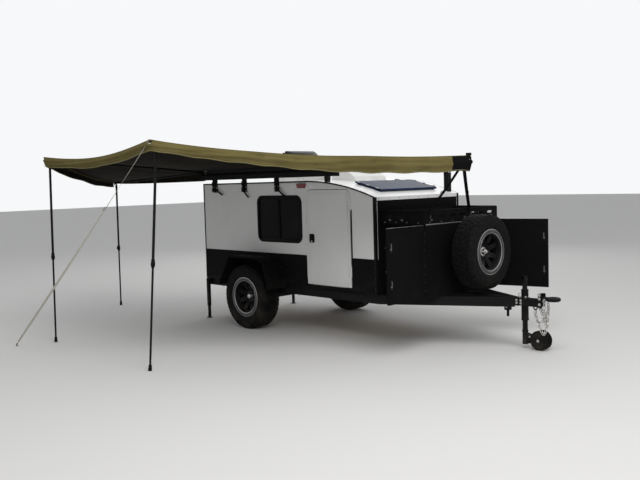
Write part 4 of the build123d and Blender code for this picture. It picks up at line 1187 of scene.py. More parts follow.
hemForm, tapeForm = makeHem(awningSizes, awningPoints, awningColumns)
awningHem = make(hemForm, "awningHem", "hem", crease=60)
awningTapes = make(tapeForm, "awningTapes", "canvas", crease=60)
awningPocket = make(makeTipPocket(awningSizes, awningColumns), "awningPocket", "blackWebbing",
    slot="olive_canvas", crease=60)
print("awning sheet made")


# Arms, knuckles and rail of the awning
armDrop = Vector((0, 0, 0.0129))  # from the cloth down to an arm's middle line


def awningArms(sizes):  # each arm's post and tip
    ends = (("rearPost", 0), ("rearPost", 1), ("frontPost", 2), ("frontPost", 5))
    return [(Vector(sizes[post]), Vector(sizes["corners"][corner])) for post, corner in ends]


def makeArmEnds():  # end caps, sleeves and rivets on the four arms
    form, plastic = newForms(2)
    for post, tip in awningArms(awningSizes):
        along = (tip - post).normalized()
        start, end = post - armDrop, tip - armDrop
        plastic.turned([(-0.052, 0.015), (-0.05, 0.0158), (-0.014, 0.0158), (-0.012, 0.0145),
            (-0.002, 0.013), (0.0, 0.008), (0.0, 0.0)], end - along * 0.004, along, 16)
        for share in (0.34, 0.67):
            place = start.lerp(end, share)
            plastic.turned([(-0.03, 0.013), (-0.028, 0.0152), (0.028, 0.0152), (0.03, 0.013)], place, along,
                16)
        for share in (0.12, 0.5, 0.86):
            spot = start.lerp(end, share)
            across = along.cross(Vector(upward)).normalized()
            form.turned([(0, 0.004), (0.0015, 0.0036), (0.0024, 0.0)], spot + across * 0.0122, across, 8)
        form.block((end.x - 0.01, end.x + 0.01), (end.y - 0.008, end.y + 0.008),
            (end.z - 0.026, end.z - 0.014))
        form.tube([(end.x, end.y, end.z - 0.014), (end.x, end.y, end.z - 0.03)], 0.0035, 8)
    return form, plastic


def makeKnuckles():  # stacked hinge plates round each post, with the arms' brackets
    form = Form()
    for name in ("rearPost", "frontPost"):
        x, y, z = awningSizes[name]
        form.turned([(-0.056, 0.026), (-0.054, 0.044), (-0.046, 0.044), (-0.044, 0.026), (-0.036, 0.026),
            (-0.035, 0.04), (-0.029, 0.04), (-0.028, 0.024), (-0.004, 0.024), (-0.002, 0.02),
            (-0.002, 0.0)], (x, y, z - 0.002), upward, 32)
        form.turned([(0, 0.012), (0.006, 0.012)], (x, y, z - 0.064), downward, 6)
    for post, tip in awningArms(awningSizes):
        along = (tip - post).normalized()
        level = Vector(upward).cross(along).normalized()
        start = post - armDrop + along * 0.022
        for side in (-1, 1):
            form.plate([(0, -0.018), (0.085, -0.014), (0.092, 0), (0.085, 0.0105), (0, 0.0105)],
                start + level * (0.0135 * side - 0.0015), along, upward, 0.003)
        form.bolt(start + along * 0.072 + level * 0.0165, level, 0.011, 0.006)
    return form


def makeAwningRail():  # the keder rail along the base, end caps and bracket bolts
    rail, caps = newForms(2)
    rail.block((0.095, 2.685), (-0.866, -0.85), (1.9615, 1.968))
    rail.tube([(0.2, -0.8585, 1.974), (2.2, -0.8585, 1.974)], 0.0075, 10)
    for x in (0.0875, 2.6925):
        caps.block((x - 0.003, x + 0.003), (-0.909, -0.816), (1.8985, 1.9635))
    for x in spread(0.3, 2.5, 12):
        caps.turned([(0, 0.0048), (0.0022, 0.004), (0.003, 0)], (x, -0.9025, 1.931), rightward, 10)
    for x in (0.43, 1.04, 1.8):
        for y in (-0.79, -0.745):
            caps.bolt((x, y, 1.962), upward, 0.013, 0.006)
    for z in (1.912, 1.95):  # grooves of the extrusion
        rail.block((0.092, 2.688), (-0.9045, -0.902), (z - 0.0018, z + 0.0018))
    return rail, caps


def makeBackPlate():  # the stiff strip that the stowed awning is strapped against, riveted to the base
    plate, rivets = newForms(2)
    section = [(-0.842, 1.945), (-0.8375, 1.945), (-0.8375, 2.026), (-0.84, 2.033), (-0.845, 2.0355),
        (-0.852, 2.0345), (-0.852, 2.032), (-0.845, 2.0325), (-0.842, 2.026)]
    plate.slab("x", section, spread(0.175, 2.225, 18))
    for x in spread(0.21, 2.19, 12):
        rivets.turned([(0, 0.0045), (0.0015, 0.004), (0.0024, 0.0)], (x, -0.842, 1.99), rightward, 8)
    return plate, rivets


makeAll(makeBackPlate(), (
    ("awningBackPlate", "poleBlack"),
    ("backPlateRivets", "castIron", 0.0, "pole_black"),
))
makeAll(makeArmEnds(), (
    ("armFixings", "zinc", 0.0, "pole_black"),
    ("armSleeves", "blackPlastic", 0.0, "pole_black"),
))
make(makeKnuckles(), "awningKnuckles", "chassis", 0.0006, "pole_black")
makeAll(makeAwningRail(), (
    ("awningRail", "poleBlack", 0.0006),
    ("awningCaps", "blackPlastic", 0.0006, "pole_black"),
))


# Rack: end caps, T-slots and the foot bolts
rackSizes = {"railY": -0.7, "x": (0.1, 1.95), "z": (1.95, 1.99), "bars": (0.25, 0.855, 1.615),
             "feet": (0.28, 0.91, 1.545)}


def makeRackParts(sizes):
    caps, bolts, slots = newForms(3)
    y, (z0, z1) = sizes["railY"], sizes["z"]
    for x, out in ((sizes["x"][0], -1), (sizes["x"][1], 1)):
        caps.block(sorted((x, x + 0.004 * out)), (y - 0.0205, y + 0.0205), (z0 - 0.0005, z1 + 0.0005))
        caps.block(sorted((x + 0.004 * out, x + 0.006 * out)), (y - 0.014, y + 0.014),
            (z0 + 0.006, z1 - 0.006))
    for low, high in ((-0.0115, -0.0075), (0.0075, 0.0115)):  # lips of the slot along the top and side
        slots.block((sizes["x"][0] + 0.002, sizes["x"][1] - 0.002), (y + low, y + high),
            (z1 - 0.0005, z1 + 0.0018))
        slots.block((sizes["x"][0] + 0.002, sizes["x"][1] - 0.002), (y - 0.0218, y - 0.0195),
            (1.97 + low, 1.97 + high))
    for x in sizes["bars"]:
        slots.block((x - 0.006, x + 0.006), (-0.64, -0.04), (z1 - 0.0055, z1 - 0.0038))
        for side in (-0.026, 0.026):
            bolts.bolt((x + side, y + 0.0205, 1.97), leftward, 0.012, 0.005)
        caps.block((x - 0.036, x + 0.036), (y + 0.0195, y + 0.0245), (z0 + 0.004, z1 - 0.004))
    for x in sizes["feet"]:
        for side in (-0.03, 0.03):
            for z in (1.75, 1.796):
                bolts.bolt((x + side, -0.768, z), rightward, 0.013, 0.006)
            bolts.bolt((x + side, -0.74, 1.9435), downward, 0.011, 0.005)
        for low, high in ((-0.045, -0.041), (0.041, 0.045)):
            slots.block((x + low, x + high), (-0.77, -0.7675), (1.732, 1.944))
        for side in (-0.022, 0.022):  # gusset between the foot's two legs
            slots.slab("x", [(bodySide, 1.9), (bodySide, 1.944), (-0.72, 1.944)],
                (x + side - 0.002, x + side + 0.002))
    return caps.mirrored(), bolts.mirrored(), slots.mirrored()


makeAll(makeRackParts(rackSizes), (
    ("rackCaps", "blackPlastic", 0.001, "chassis_black"),
    ("rackBolts", "zinc"),
    ("rackSlots", "chassis", 0.0004),
))


# Straps that bundle the awning when it is stowed, hanging open beside the rack feet
strapSizes = {"width": 0.025, "thick": 0.0022, "places": ((0.25, 0.455), (0.89, 1.01), (1.555, 1.72)),
              "tail": (1.7, 1.664, 1.672)}


def makeStraps(sizes):
    straps, buckles = newForms(2)
    for (x, end), low in zip(sizes["places"], sizes["tail"]):
        strap = (sizes["width"], sizes["thick"], leftward)
        drop = archPath([(x, -0.816, 1.96), (x, -0.806, 1.93), (x + 0.003, -0.7835, 1.885),
            (x, -0.7815, 1.8), (x - 0.004, -0.782, 1.742)], 6)
        straps.tube(drop, 0.0, 4, flat=strap)
        tail = archPath([(x + 0.004, -0.785, 1.812), (x + 0.035, -0.79, 1.77),
            (x + (end - x) * 0.45, -0.795, low + 0.062), (x + (end - x) * 0.78, -0.79, low + 0.02),
            (end, -0.785, low)], 7)
        straps.tube(tail, 0.0, 4, flat=strap)
        for z in (1.846, 1.768):  # side-release buckle: frame, bars and prongs
            for low, high in ((-0.019, -0.013), (0.013, 0.019)):
                buckles.block((x + low, x + high), (-0.792, -0.779), (z - 0.03, z + 0.03))
            for dz in (-0.027, -0.002, 0.024):
                buckles.block((x - 0.014, x + 0.014), (-0.7905, -0.78), (z + dz - 0.004, z + dz + 0.004))
            buckles.block((x - 0.01, x + 0.01), (-0.79, -0.787), (z - 0.024, z + 0.02))
    return straps, buckles


makeAll(makeStraps(strapSizes), (
    ("stowStraps", "blackWebbing", 0.0, None, "trailer", 60),
    ("stowBuckles", "blackPlastic", 0.0012),
))


# Two straps that hold the front arm down to the tray's front edge
holdSizes = {"tip": (4.545, -0.998, 1.985), "ends": ((3.8, -0.59, 1.505), (3.8, 0.122, 1.505)),
             "hooks": (-0.575, 0.147), "width": 0.034, "thick": 0.0028}


def makeHoldStraps(sizes):
    straps, metal = newForms(2)
    tip = Vector(sizes["tip"])
    for index, end in enumerate(sizes["ends"]):
        end = Vector(end)
        face = Vector(((1, 0.4, 0.4), upward)[index])  # the far strap lies turned a quarter round
        line = [tip.lerp(end, t) - Vector((0, 0, 0.018 * sin(pi * t))) for t in spread(0.0, 1.0, 18)]
        straps.tube(line, 0.0, 4, flat=(sizes["width"], sizes["thick"], face))
        below = Vector((3.8015, sizes["hooks"][index], 1.432))
        straps.tube([end, end.lerp(below, 0.5), below], 0.0, 4,
            flat=(sizes["width"], sizes["thick"], forward))
        ladder = tip.lerp(end, 0.62)
        along = (end - tip).normalized()
        across = along.cross(face).normalized()
        for step in (-0.022, 0.0, 0.022):
            metal.tube([ladder + along * step - across * 0.017, ladder + along * step + across * 0.017],
                0.0028, 8)
        for side in (-1, 1):
            metal.tube([ladder - along * 0.026 + across * 0.016 * side,
                ladder + along * 0.026 + across * 0.016 * side], 0.0026, 8)
        hook = [below + Vector((0.004, 0, 0.016)), below + Vector((0.006, 0, -0.006)),
            below + Vector((0.0, 0, -0.014)), below + Vector((-0.01, 0, -0.008)),
            below + Vector((-0.012, 0, 0.004))]
        metal.tube(archPath(hook, 5), 0.0032, 8)
    metal.tube(archPath([(4.545, -1.014, 2.012), (4.552, -1.012, 1.992), (4.545, -0.998, 1.98),
        (4.538, -0.984, 1.992), (4.545, -0.984, 2.012)], 5), 0.0035, 8)
    return straps, metal


makeAll(makeHoldStraps(holdSizes), (
    ("armHoldStraps", "blackWebbing", 0.0, None, "trailer", 60),
    ("armHoldHooks", "castIron"),
))


# Poles: twist clamps, lever, spring buttons, foot rubbers and top pins, each on its pole's body
poleSizes = {
    "right_front": {"foot": (2.218, -3.106), "corner": 2, "post": "frontPost", "inset": 0.075},
    "right_rear": {"foot": (-0.023, -3.013), "corner": 1, "post": "rearPost", "inset": 0.07},
    "rear": {"foot": (-2.067, -0.939), "corner": 0, "post": "rearPost", "inset": 0.06},
}


def makePoleParts(sizes):
    tip, post = Vector(awningSizes["corners"][sizes["corner"]]), Vector(awningSizes[sizes["post"]])
    along = (tip - post).normalized()
    pin = tip - armDrop - along * sizes["inset"] - Vector((0, 0, 0.0365))
    ground = Vector((*sizes["foot"], 0.0))
    tilt = acos((pin - ground).normalized().z)
    ground.z = 0.018 * sin(tilt) + 0.00005
    down = (ground - pin).normalized()
    length = (ground - pin).length
    split = pin + down * (length * 0.52)
    level = Vector(upward).cross(along).normalized()
    clamp, foot, metal = newForms(3)
    clamp.turned([(-0.044, 0.0142), (-0.042, 0.0185), (-0.012, 0.0195), (-0.01, 0.021), (0.022, 0.021),
        (0.026, 0.018), (0.04, 0.0165), (0.042, 0.0112)], split, down, 24)
    for angle in around(10):  # grip ribs
        out = level * cos(angle) + down.cross(level) * sin(angle)
        clamp.tube([split + out * 0.0205 - down * 0.008, split + out * 0.0205 + down * 0.02], 0.0022, 6)
    lever = split - down * 0.024 + level * 0.02
    clamp.tube([lever, lever + level * 0.01 + down * 0.006, lever + level * 0.012 + down * 0.04],
        [0.006, 0.006, 0.004], 8)
    foot.turned([(-0.062, 0.0118), (-0.06, 0.015), (-0.034, 0.0165), (-0.03, 0.0188), (-0.006, 0.0188)],
        ground, down, 24)
    for step in (-0.05, -0.043):
        foot.turned([(step - 0.002, 0.0156), (step - 0.0012, 0.0176), (step + 0.0012, 0.0176),
            (step + 0.002, 0.0156)], ground, down, 20)
    for place in (0.16, 0.24, 0.32):
        metal.turned([(0.0135, 0.0036), (0.0152, 0.0032), (0.0162, 0.0015), (0.0162, 0)],
            pin + down * (length * place), level, 8)
    for side in (-1, 1):
        metal.turned([(0.0118, 0.0072), (0.0135, 0.0072), (0.0146, 0.0055), (0.0146, 0)], pin, level * side,
            14)
    clamp.turned([(0.028, 0.0142), (0.03, 0.0172), (0.046, 0.0172), (0.048, 0.0142)], pin, down, 20)
    return clamp, foot, metal


for name, sizes in poleSizes.items():
    makeAll(makePoleParts(sizes), (
        ("poleClamp_" + name, "blackPlastic", 0.0, "pole_black", "pole_" + name),
        ("poleFoot_" + name, "seal", 0.0, "pole_black", "pole_" + name),
        ("polePins_" + name, "castIron", 0.0, None, "pole_" + name),
    ))


# Guy strap from the awning's outer corner to its stake
guySizes = {"top": (2.264, -3.024, 2.299), "stake": (-0.173, -3.43, 0.024), "width": 0.025, "thick": 0.0022,
            "buckle": 0.3, "steps": 60}


def makeGuy(sizes):
    strap, metal, stake = newForms(3)
    top, end = Vector(sizes["top"]), Vector(sizes["stake"])
    along = (end - top).normalized()
    side = along.cross(Vector(upward)).normalized()
    lift = side.cross(along).normalized()
    rings = []
    for step in range(sizes["steps"] + 1):  # the strap turns over once on its way down
        t = step / sizes["steps"]
        point = (top + along * 0.055).lerp(end - along * 0.05, t) - Vector((0, 0, 0.014 * sin(pi * t)))
        turn = 0.5 + 2.4 * (3 * t * t - 2 * t * t * t)
        across = (side * cos(turn) + lift * sin(turn)) * sizes["width"] / 2
        thick = across.normalized().cross(along) * sizes["thick"] / 2
        rings.append([point + across + thick, point - across + thick, point - across - thick,
            point + across - thick])
    strap.loft(rings)
    metal.tube(archPath([top + along * 0.062, top + along * 0.03 + Vector((0, 0.008, 0)),
        top + Vector((0.002, 0.004, 0.006)), top + along * 0.03 - Vector((0, 0.008, 0)),
        top + along * 0.062], 5), 0.0028, 8)
    middle = top.lerp(end, sizes["buckle"])
    for step in (-0.03, -0.01, 0.012):
        metal.tube([middle + along * step - side * 0.017, middle + along * step + side * 0.017], 0.0032, 8)
    for edge in (-1, 1):
        metal.tube([middle - along * 0.034 + side * 0.0165 * edge,
            middle + along * 0.016 + side * 0.0165 * edge], 0.0032, 8)
    metal.tube(archPath([end - along * 0.056, end - along * 0.03, end + Vector((0.0, 0, 0.004)),
        end - along * 0.026 + Vector((0, 0.01, 0)), end - along * 0.056], 5), 0.0026, 8)
    x, y = end.x, end.y
    stake.turned([(0.0, 0.006), (0.02, 0.006), (0.021, 0.011), (0.026, 0.012), (0.029, 0.01), (0.03, 0.0)],
        (x, y, 0.0), upward, 20)
    stake.turned([(0.0, 0.015), (0.0022, 0.015), (0.003, 0.013), (0.003, 0.006)], (x, y, 0.0), upward, 20)
    stake.tube(archPath([(x, y, 0.012), (x + 0.012, y - 0.002, 0.014), (x + 0.014, y - 0.001, 0.024),
        (x + 0.004, y, 0.027)], 5), 0.003, 8)
    return strap, metal, stake


guyForm, guyMetal, guyStake = makeGuy(guySizes)
guyStrap = make(guyForm, "guyStrap", "webbing", crease=60)
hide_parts("guy_strap")
make(guyMetal, "guyHardware", "zinc")
make(guyStake, "guyStake", "castIron", slot="grey_webbing")
print("awning fittings made")


# Front box, its doors, the tray and what holds the spare
boxSizes = {"front": 3.79, "half": 0.65, "top": 1.357, "tray": (3.181, 3.795, 0.68, 1.357, 1.5)}


def makeBoxEdgeHighlight(sizes):  # a bright bare-metal strip along the box's front top edge: painted highlight where light catches that edge
    form, x1, z1, half = Form(), sizes["front"], sizes["top"], sizes["half"]
    form.loft([[(x1, y, z1 - 0.012), (x1 + 0.0022, y, z1 - 0.012), (x1 + 0.0045, y, z1 - 0.0035),
        (x1 + 0.003, y, z1 - 0.0005), (x1, y, z1 - 0.0005)] for y in (-half + 0.004, half - 0.004)])
    return form


def makeBoxInside():
    form = Form()
    for z in (0.82, 1.085):  # shelf and slide rails across the box
        form.block((3.206, 3.764), (-0.64, 0.64), (z, z + 0.006))
        for y in ((-0.6405, -0.6345), (0.6345, 0.6405)):
            form.block((3.206, 3.764), y, (z - 0.018, z))
    return form


def makeBoxSeals():  # bulb seals round the two open ends
    form = Form()
    roundedBand(form, (3.1835, 3.7865), (0.5635, 1.3535), 0.012, 0.012, (-0.6496, -0.642), 4)
    return form.mirrored()


def makeClosedDoor():  # the right door while shut: pressed panel, latches, rivets, lining and top edge
    panel, latch, metal, lining = newForms(4)
    skin = -0.675
    x, z = (3.19, 3.78), (0.568, 1.349)
    roundedBand(panel, (x[0] + 0.045, x[1] - 0.06), (z[0] + 0.05, z[1] - 0.05), 0.025, 0.01,
        (skin - 0.0035, skin + 0.001), 5)
    roundedBand(panel, x, z, 0.004, 0.014, (skin - 0.0022, skin + 0.001), 3)
    for centre in (0.77, 1.15):  # folding handles with their dishes
        latchX = 3.232
        dish = roundedCorners((latchX - 0.022, latchX + 0.022), (centre - 0.05, centre + 0.05), 0.01, 5)
        latch.plate([(a - latchX, b - centre) for a, b in dish], (latchX, skin - 0.0005, centre), forward,
            upward, 0.0045)
        metal.turned([(0, 0.0125), (0.006, 0.0125), (0.0085, 0.01), (0.0085, 0)],
            (latchX, skin - 0.0045, centre - 0.018), rightward, 24)
        handle = [(latchX, skin - 0.01, centre - 0.018), (latchX, skin - 0.014, centre + 0.004),
            (latchX, skin - 0.012, centre + 0.04)]
        metal.tube(archPath(handle, 5), [0.0065] * 5 + [0.0055] * 6, 10)
        for dz in (-0.044, 0.044):
            metal.turned([(0, 0.0032), (0.0014, 0.0028), (0.0018, 0)], (latchX, skin - 0.0048, centre + dz),
                rightward, 8)
    for height in spread(0.655, 1.262, 8):  # rivets of the long hinge
        metal.turned([(0, 0.004), (0.0015, 0.0036), (0.0024, 0.0)], (3.7745, skin - 0.0038, height),
            rightward, 8)
    for height in spread(0.64, 1.277, 12):
        panel.turned([(-0.0005, 0.0071), (0.0005, 0.0071)], (3.7963, skin + 0.006, height), upward, 12)
    outline = roundedCorners((x[0] + 0.03, x[1] - 0.04), (z[0] + 0.03, z[1] - 0.03), 0.02, 5)
    lining.slab("y", outline, (-0.65, -0.6475))
    steps = ((3.24, 3.715, -0.6478, 0.02), (3.248, 3.707, -0.642, 0.011))
    for height in (0.76, 0.96, 1.16):  # pressed stiffeners inside
        lining.loft([[(x0, y, height - half), (x1, y, height - half), (x1, y, height + half),
            (x0, y, height + half)] for x0, x1, y, half in steps])
    edge = Form().block((x[0] + 0.004, x[1] - 0.006), (skin + 0.002, skin + 0.02),
        (z[1] - 0.0004, z[1] + 0.0009))
    return panel, latch, metal, lining, edge


boxHinges = {  # pin, degrees that the door stands open, mirroring
    "right": (Vector((3.7963, -0.669, 0.0)), 90, Matrix()),
    "left": (Vector((3.7963, 0.669, 0.0)), -167, flipSide),
}


def openedDoor(side):
    pin, turn, flip = boxHinges[side]
    swing = Matrix.Translation(pin) @ Matrix.Rotation(radians(turn), 4, "Z") @ Matrix.Translation(-pin)
    return swing @ flip


for side in ("right", "left"):
    body, swing = side + "_box_door", openedDoor(side)
    makeAll([Form().merge(form, swing) for form in makeClosedDoor()], (
        (side + "BoxDoorPanel", "boxBlack", 0.0008, None, body),
        (side + "BoxDoorDishes", "blackPlastic", 0.0008, None, body),
        (side + "BoxDoorLatches", "castIron", 0.0, None, body),
        (side + "BoxDoorLining", "boxBlack", 0.0006, None, body),
        (side + "BoxDoorEdge", "bareEdge", 0.0, None, body),
    ))


def makeTrayParts(sizes):
    roll, hardware = newForms(2)
    x0, x1, half, low, top = sizes["tray"]
    corner = 0.01
    rim = [(x0 + 0.003, -half, top), (x1 - corner, -half, top), (x1, -half + corner, top),
        (x1, half - corner, top), (x1 - corner, half, top), (x0 + 0.003, half, top)]
    rim = [(min(x, x1 - 0.002), y * (half - 0.002) / half, z - 0.002) for x, y, z in rim]
    roll.tube(rim, 0.0055, 10)
    for y in (-half + 0.001, half - 0.001):  # folded corner straps
        roll.block((x1 - 0.03, x1 + 0.0018), sorted((y, y + 0.0018 * (1 if y > 0 else -1))),
            (low + 0.01, top - 0.008))
    places = [(x, side * half, (0, side, 0)) for side in (-1, 1) for x in (3.324, 3.496)]
    places += [(x1, y, forward) for y in (-0.55, 0.045, 0.56)]
    for x, y, out in places:  # lashing rings on their plates
        spot, out = Vector((x, y, 1.4)), Vector(out)
        across = out.cross(Vector(upward))
        hardware.plate([(-0.016, -0.008), (0.016, -0.008), (0.016, 0.008), (-0.016, 0.008)],
            spot - out * 0.0005, -across, upward, 0.003)
        for side in (-0.012, 0.012):
            hardware.turned([(0, 0.003), (0.0016, 0.0028), (0.0022, 0)],
                spot + across * side + out * 0.0024, out, 8)
        ring = [spot + out * 0.006 + across * 0.009 * cos(turn)
            + (Vector(upward) * 0.7 + out * 0.35) * (0.012 * sin(turn) - 0.01) for turn in around(14)]
        hardware.tube(ring, 0.0024, 7, True)
    for y in spread(-0.6, 0.6, 7):
        hardware.bolt((x1 - 0.0005, y + 0.02, 1.374), forward, 0.01, 0.004)
    for x in spread(3.25, 3.72, 4):
        for y in (-half, half):
            hardware.bolt((x, y, 1.374), (0, copysign(1, y), 0), 0.01, 0.004)
    return roll, hardware


makeAll(makeTrayParts(boxSizes), (
    ("trayEdge", "boxBlack"),
    ("lashingRings", "castIron"),
))
# the bright strip stands for light on the box's front top edge: a painted highlight
make(makeBoxEdgeHighlight(boxSizes), "boxEdgeHighlight", "bareEdge")
make(makeBoxInside(), "boxShelves", "zinc", 0.0006, "black_panel")
make(makeBoxSeals(), "boxSeals", "seal", 0.0015)


def makeCarrierBolts():
    form = Form()
    for y in (-0.098, 0.098):
        for z in (0.929, 1.125):
            form.bolt((3.798, y, z), forward, 0.022, 0.01)
    for turn in (30, 150, 270):  # gussets between the plate and the arm
        angle = radians(turn)
        out = Vector((0, cos(angle), sin(angle)))
        form.plate([(0, 0.04), (0, 0.1), (0.01, 0.1), (0.07, 0.046), (0.07, 0.04)],
            Vector((3.7975, 0, 1.027)) - Vector(forward).cross(out) * 0.003, forward, out, 0.006)
    return form


make(makeCarrierBolts(), "carrierBolts", "castIron", 0.0008, "chassis_black")
print("box and tray details made")


# Tongue, coupling ring, jack and chains
tongueSizes = {"chainLink": 0.044, "wire": 0.0046, "hookWire": 0.0065}


def makeTongueBolts():
    form = Form()
    for side in (-1, 1):
        for z in (0.51, 0.57, 0.606):
            form.bolt((4.7785, side * 0.045, z), (0, side, 0), 0.02, 0.01)
    for x in (4.505, 4.555):  # jack flange bolts through the tongue's side
        for z in (0.505, 0.535):
            form.bolt((x, -0.04, z), rightward, 0.017, 0.009)
    for x in (4.52, 4.59):  # pins on top of the tongue
        form.turned([(0, 0.014), (0.003, 0.014), (0.003, 0.009), (0.016, 0.009), (0.018, 0.006),
            (0.018, 0)], (x, 0.0, 0.56), upward, 16)
        form.tube(archPath([(x - 0.02, 0.004, 0.57), (x - 0.008, 0.014, 0.573), (x + 0.008, 0.01, 0.573),
            (x + 0.022, -0.002, 0.57)], 5), 0.0026, 8)
    form.bolt((4.373, -0.028, 0.452), rightward, 0.018, 0.01)
    for x in (3.24, 3.62):  # box feet on the tongue rails
        for y in (-0.36, 0.36):
            form.bolt((x, y, 0.56), upward, 0.016, 0.008)
    return form


def makeTongueWelds():  # beads where the tongue rails meet and the plates' edges
    form = Form()
    for y in (-0.041, 0.041):
        form.tube([(3.2, y * 9.0, 0.5605), (3.6, y * 6.6, 0.5605)], 0.0035, 6)
        form.tube([(4.26, y, 0.486), (4.26, y, 0.556)], 0.0035, 6)
    form.tube([(4.3455, -0.0285, 0.479), (4.4005, -0.0285, 0.479)], 0.0035, 6)
    for y in ((-0.0475, -0.04), (0.04, 0.0475)):
        form.block((4.7, 4.756), y, (0.488, 0.552))
    # loop that the chains hang from
    for y in (-0.043, 0.043):
        form.tube(archPath([(4.712, y, 0.49), (4.716, y * 1.06, 0.466), (4.734, y * 1.1, 0.456),
            (4.75, y * 1.06, 0.466), (4.754, y, 0.49)], 6), 0.0065, 10)
    return form


def chainAlong(form, path, link, wire):
    # oval links one after another, each turned a quarter from the last
    path = [Vector(point) for point in path]
    lengths = [0.0]
    for first, last in zip(path, path[1:]):
        lengths.append(lengths[-1] + (last - first).length)
    pitch = link - 2 * wire - 0.0004
    count = int(lengths[-1] / pitch)

    def along(distance):
        for index in range(len(path) - 1):
            if distance <= lengths[index + 1]:
                return path[index].lerp(path[index + 1],
                    (distance - lengths[index]) / (lengths[index + 1] - lengths[index]))
        return path[-1]

    for index in range(count):
        start, end = along(index * pitch), along((index + 1) * pitch)
        middle, direction = (start + end) / 2, (end - start).normalized()
        side = direction.cross(Vector((0.3, 1, 0.1))).normalized()
        across = side if index % 2 else direction.cross(side)
        half, width = link / 2 - wire, link * 0.3
        ring = []
        for turn in around(16):
            shift = (half - width) * (1 if cos(turn) > 0 else -1) if abs(cos(turn)) > 0.01 else 0
            ring.append(middle + direction * (shift + width * cos(turn)) + across * width * sin(turn))
        form.tube(ring, wire, 7, True)
    return form


def makeChains(sizes):
    form, hooks = newForms(2)
    # each chain hangs in a bight and comes back up to its hook on the ring's shank
    first = archPath([(4.732, -0.046, 0.452), (4.752, -0.052, 0.36), (4.795, -0.05, 0.25),
        (4.822, -0.04, 0.196), (4.842, -0.03, 0.235), (4.848, -0.02, 0.34), (4.838, -0.03, 0.45),
        (4.826, -0.033, 0.535)], 8)
    second = archPath([(4.734, 0.046, 0.452), (4.76, 0.05, 0.38), (4.8, 0.04, 0.3), (4.826, 0.02, 0.268),
        (4.84, 0.004, 0.31), (4.846, 0.012, 0.41), (4.84, 0.028, 0.5), (4.83, 0.033, 0.545)], 8)
    third = archPath([(4.728, -0.044, 0.446), (4.742, -0.058, 0.39), (4.772, -0.066, 0.345),
        (4.806, -0.062, 0.33), (4.836, -0.052, 0.352), (4.85, -0.046, 0.4)], 8)
    fourth = archPath([(4.744, 0.03, 0.47), (4.776, 0.036, 0.43), (4.812, 0.03, 0.392),
        (4.838, 0.022, 0.42), (4.842, 0.03, 0.48)], 8)
    for path in (first, second, third, fourth):
        chainAlong(form, path, sizes["chainLink"], sizes["wire"])
    centre = Vector((4.853, -0.044, 0.392))  # open hook that hangs at the end of the short length
    ring = [centre + Vector((0.018 * cos(turn), 0.006 * sin(turn * 2), 0.034 * sin(turn) - 0.01))
        for turn in (radians(angle) for angle in range(-230, 71, 20))]
    hooks.tube(ring, sizes["hookWire"], 9)
    for place in ((4.826, -0.0335, 0.548), (4.83, 0.0335, 0.556)):
        centre = Vector(place)
        ring = [centre + Vector((0.012 * cos(turn), 0.002, 0.022 * sin(turn)))
            for turn in (radians(angle) for angle in range(-60, 241, 25))]
        hooks.tube(ring, sizes["hookWire"] * 0.8, 8)
    return form, hooks


jackPlace = {"x": 4.51, "y": 0.115, "wheelX": 4.7, "axle": 0.105, "track": 0.038}


def makeJackParts(place):  # fixed on the tongue
    grips, steel, spring = newForms(3)
    x, y, top = place["x"], place["y"], 0.764
    for side in (-1, 1):
        grips.turned([(0.012, 0.0125), (0.0135, 0.015), (0.043, 0.0155), (0.045, 0.013), (0.045, 0)],
            (x, y, top), (0, side, 0), 18)
        for step in spread(0.018, 0.04, 5):
            grips.turned([(step - 0.0012, 0.0152), (step - 0.0006, 0.0162), (step + 0.0006, 0.0162),
                (step + 0.0012, 0.0152)], (x, y, top), (0, side, 0), 18)
    collars = (([(0.3, 0.0385), (0.304, 0.04), (0.318, 0.04), (0.322, 0.0385)], 32),
        ([(0.618, 0.0385), (0.62, 0.04), (0.63, 0.04), (0.634, 0.03), (0.644, 0.027)], 32),
        ([(0.728, 0.0265), (0.73, 0.0285), (0.742, 0.0285), (0.75, 0.02), (0.752, 0.015)], 28))
    for outline, sides in collars:
        steel.turned(outline, (x, y, 0.0), upward, sides)
    for z in (0.49, 0.55):
        for dx in (0.022, 0.046):
            steel.bolt((x + dx, 0.0405, z - 0.005), leftward, 0.013, 0.007)
    steel.bolt((x - 0.034, y - 0.016, 0.7), (-1, -0.4, 0), 0.009, 0.005)
    steel.turned([(0, 0.004), (0.006, 0.004), (0.009, 0.0025), (0.012, 0.0025), (0.013, 0)],
        (x + 0.026, y - 0.026, 0.6), (1, -1, 0), 10)
    spring.tube(archPath([(x - 0.042, y - 0.02, 0.588), (x - 0.06, y - 0.02, 0.584),
        (x - 0.064, y - 0.02, 0.566), (x - 0.05, y - 0.02, 0.56)], 5), 0.0032, 8)
    return grips, steel, spring


def makeCasterParts(place):
    collars, bolts = newForms(2)
    x, y = place["x"], place["y"]
    for outline in ([(0.05, 0.029), (0.053, 0.032), (0.066, 0.032), (0.069, 0.029)],
            [(0.172, 0.029), (0.175, 0.033), (0.196, 0.033), (0.1985, 0.03)]):
        collars.turned(outline, (x, y, 0.0), upward, 28)
    for side in (-1, 1):  # stiffening lips on the arm
        for low, high in ((0.165, 0.122), (0.064, 0.086)):
            collars.tube([(x + 0.03, y + side * 0.0115, low), (x + 0.18, y + side * 0.0115, high)], 0.0045,
                8)
    for side in (-1, 1):
        bolts.bolt((place["wheelX"], y + side * 0.0626, place["axle"]), (0, side, 0), 0.02, 0.009)
        bolts.bolt((x + 0.06, y + side * 0.012, 0.128), (0, side, 0), 0.014, 0.006)
    return collars, bolts


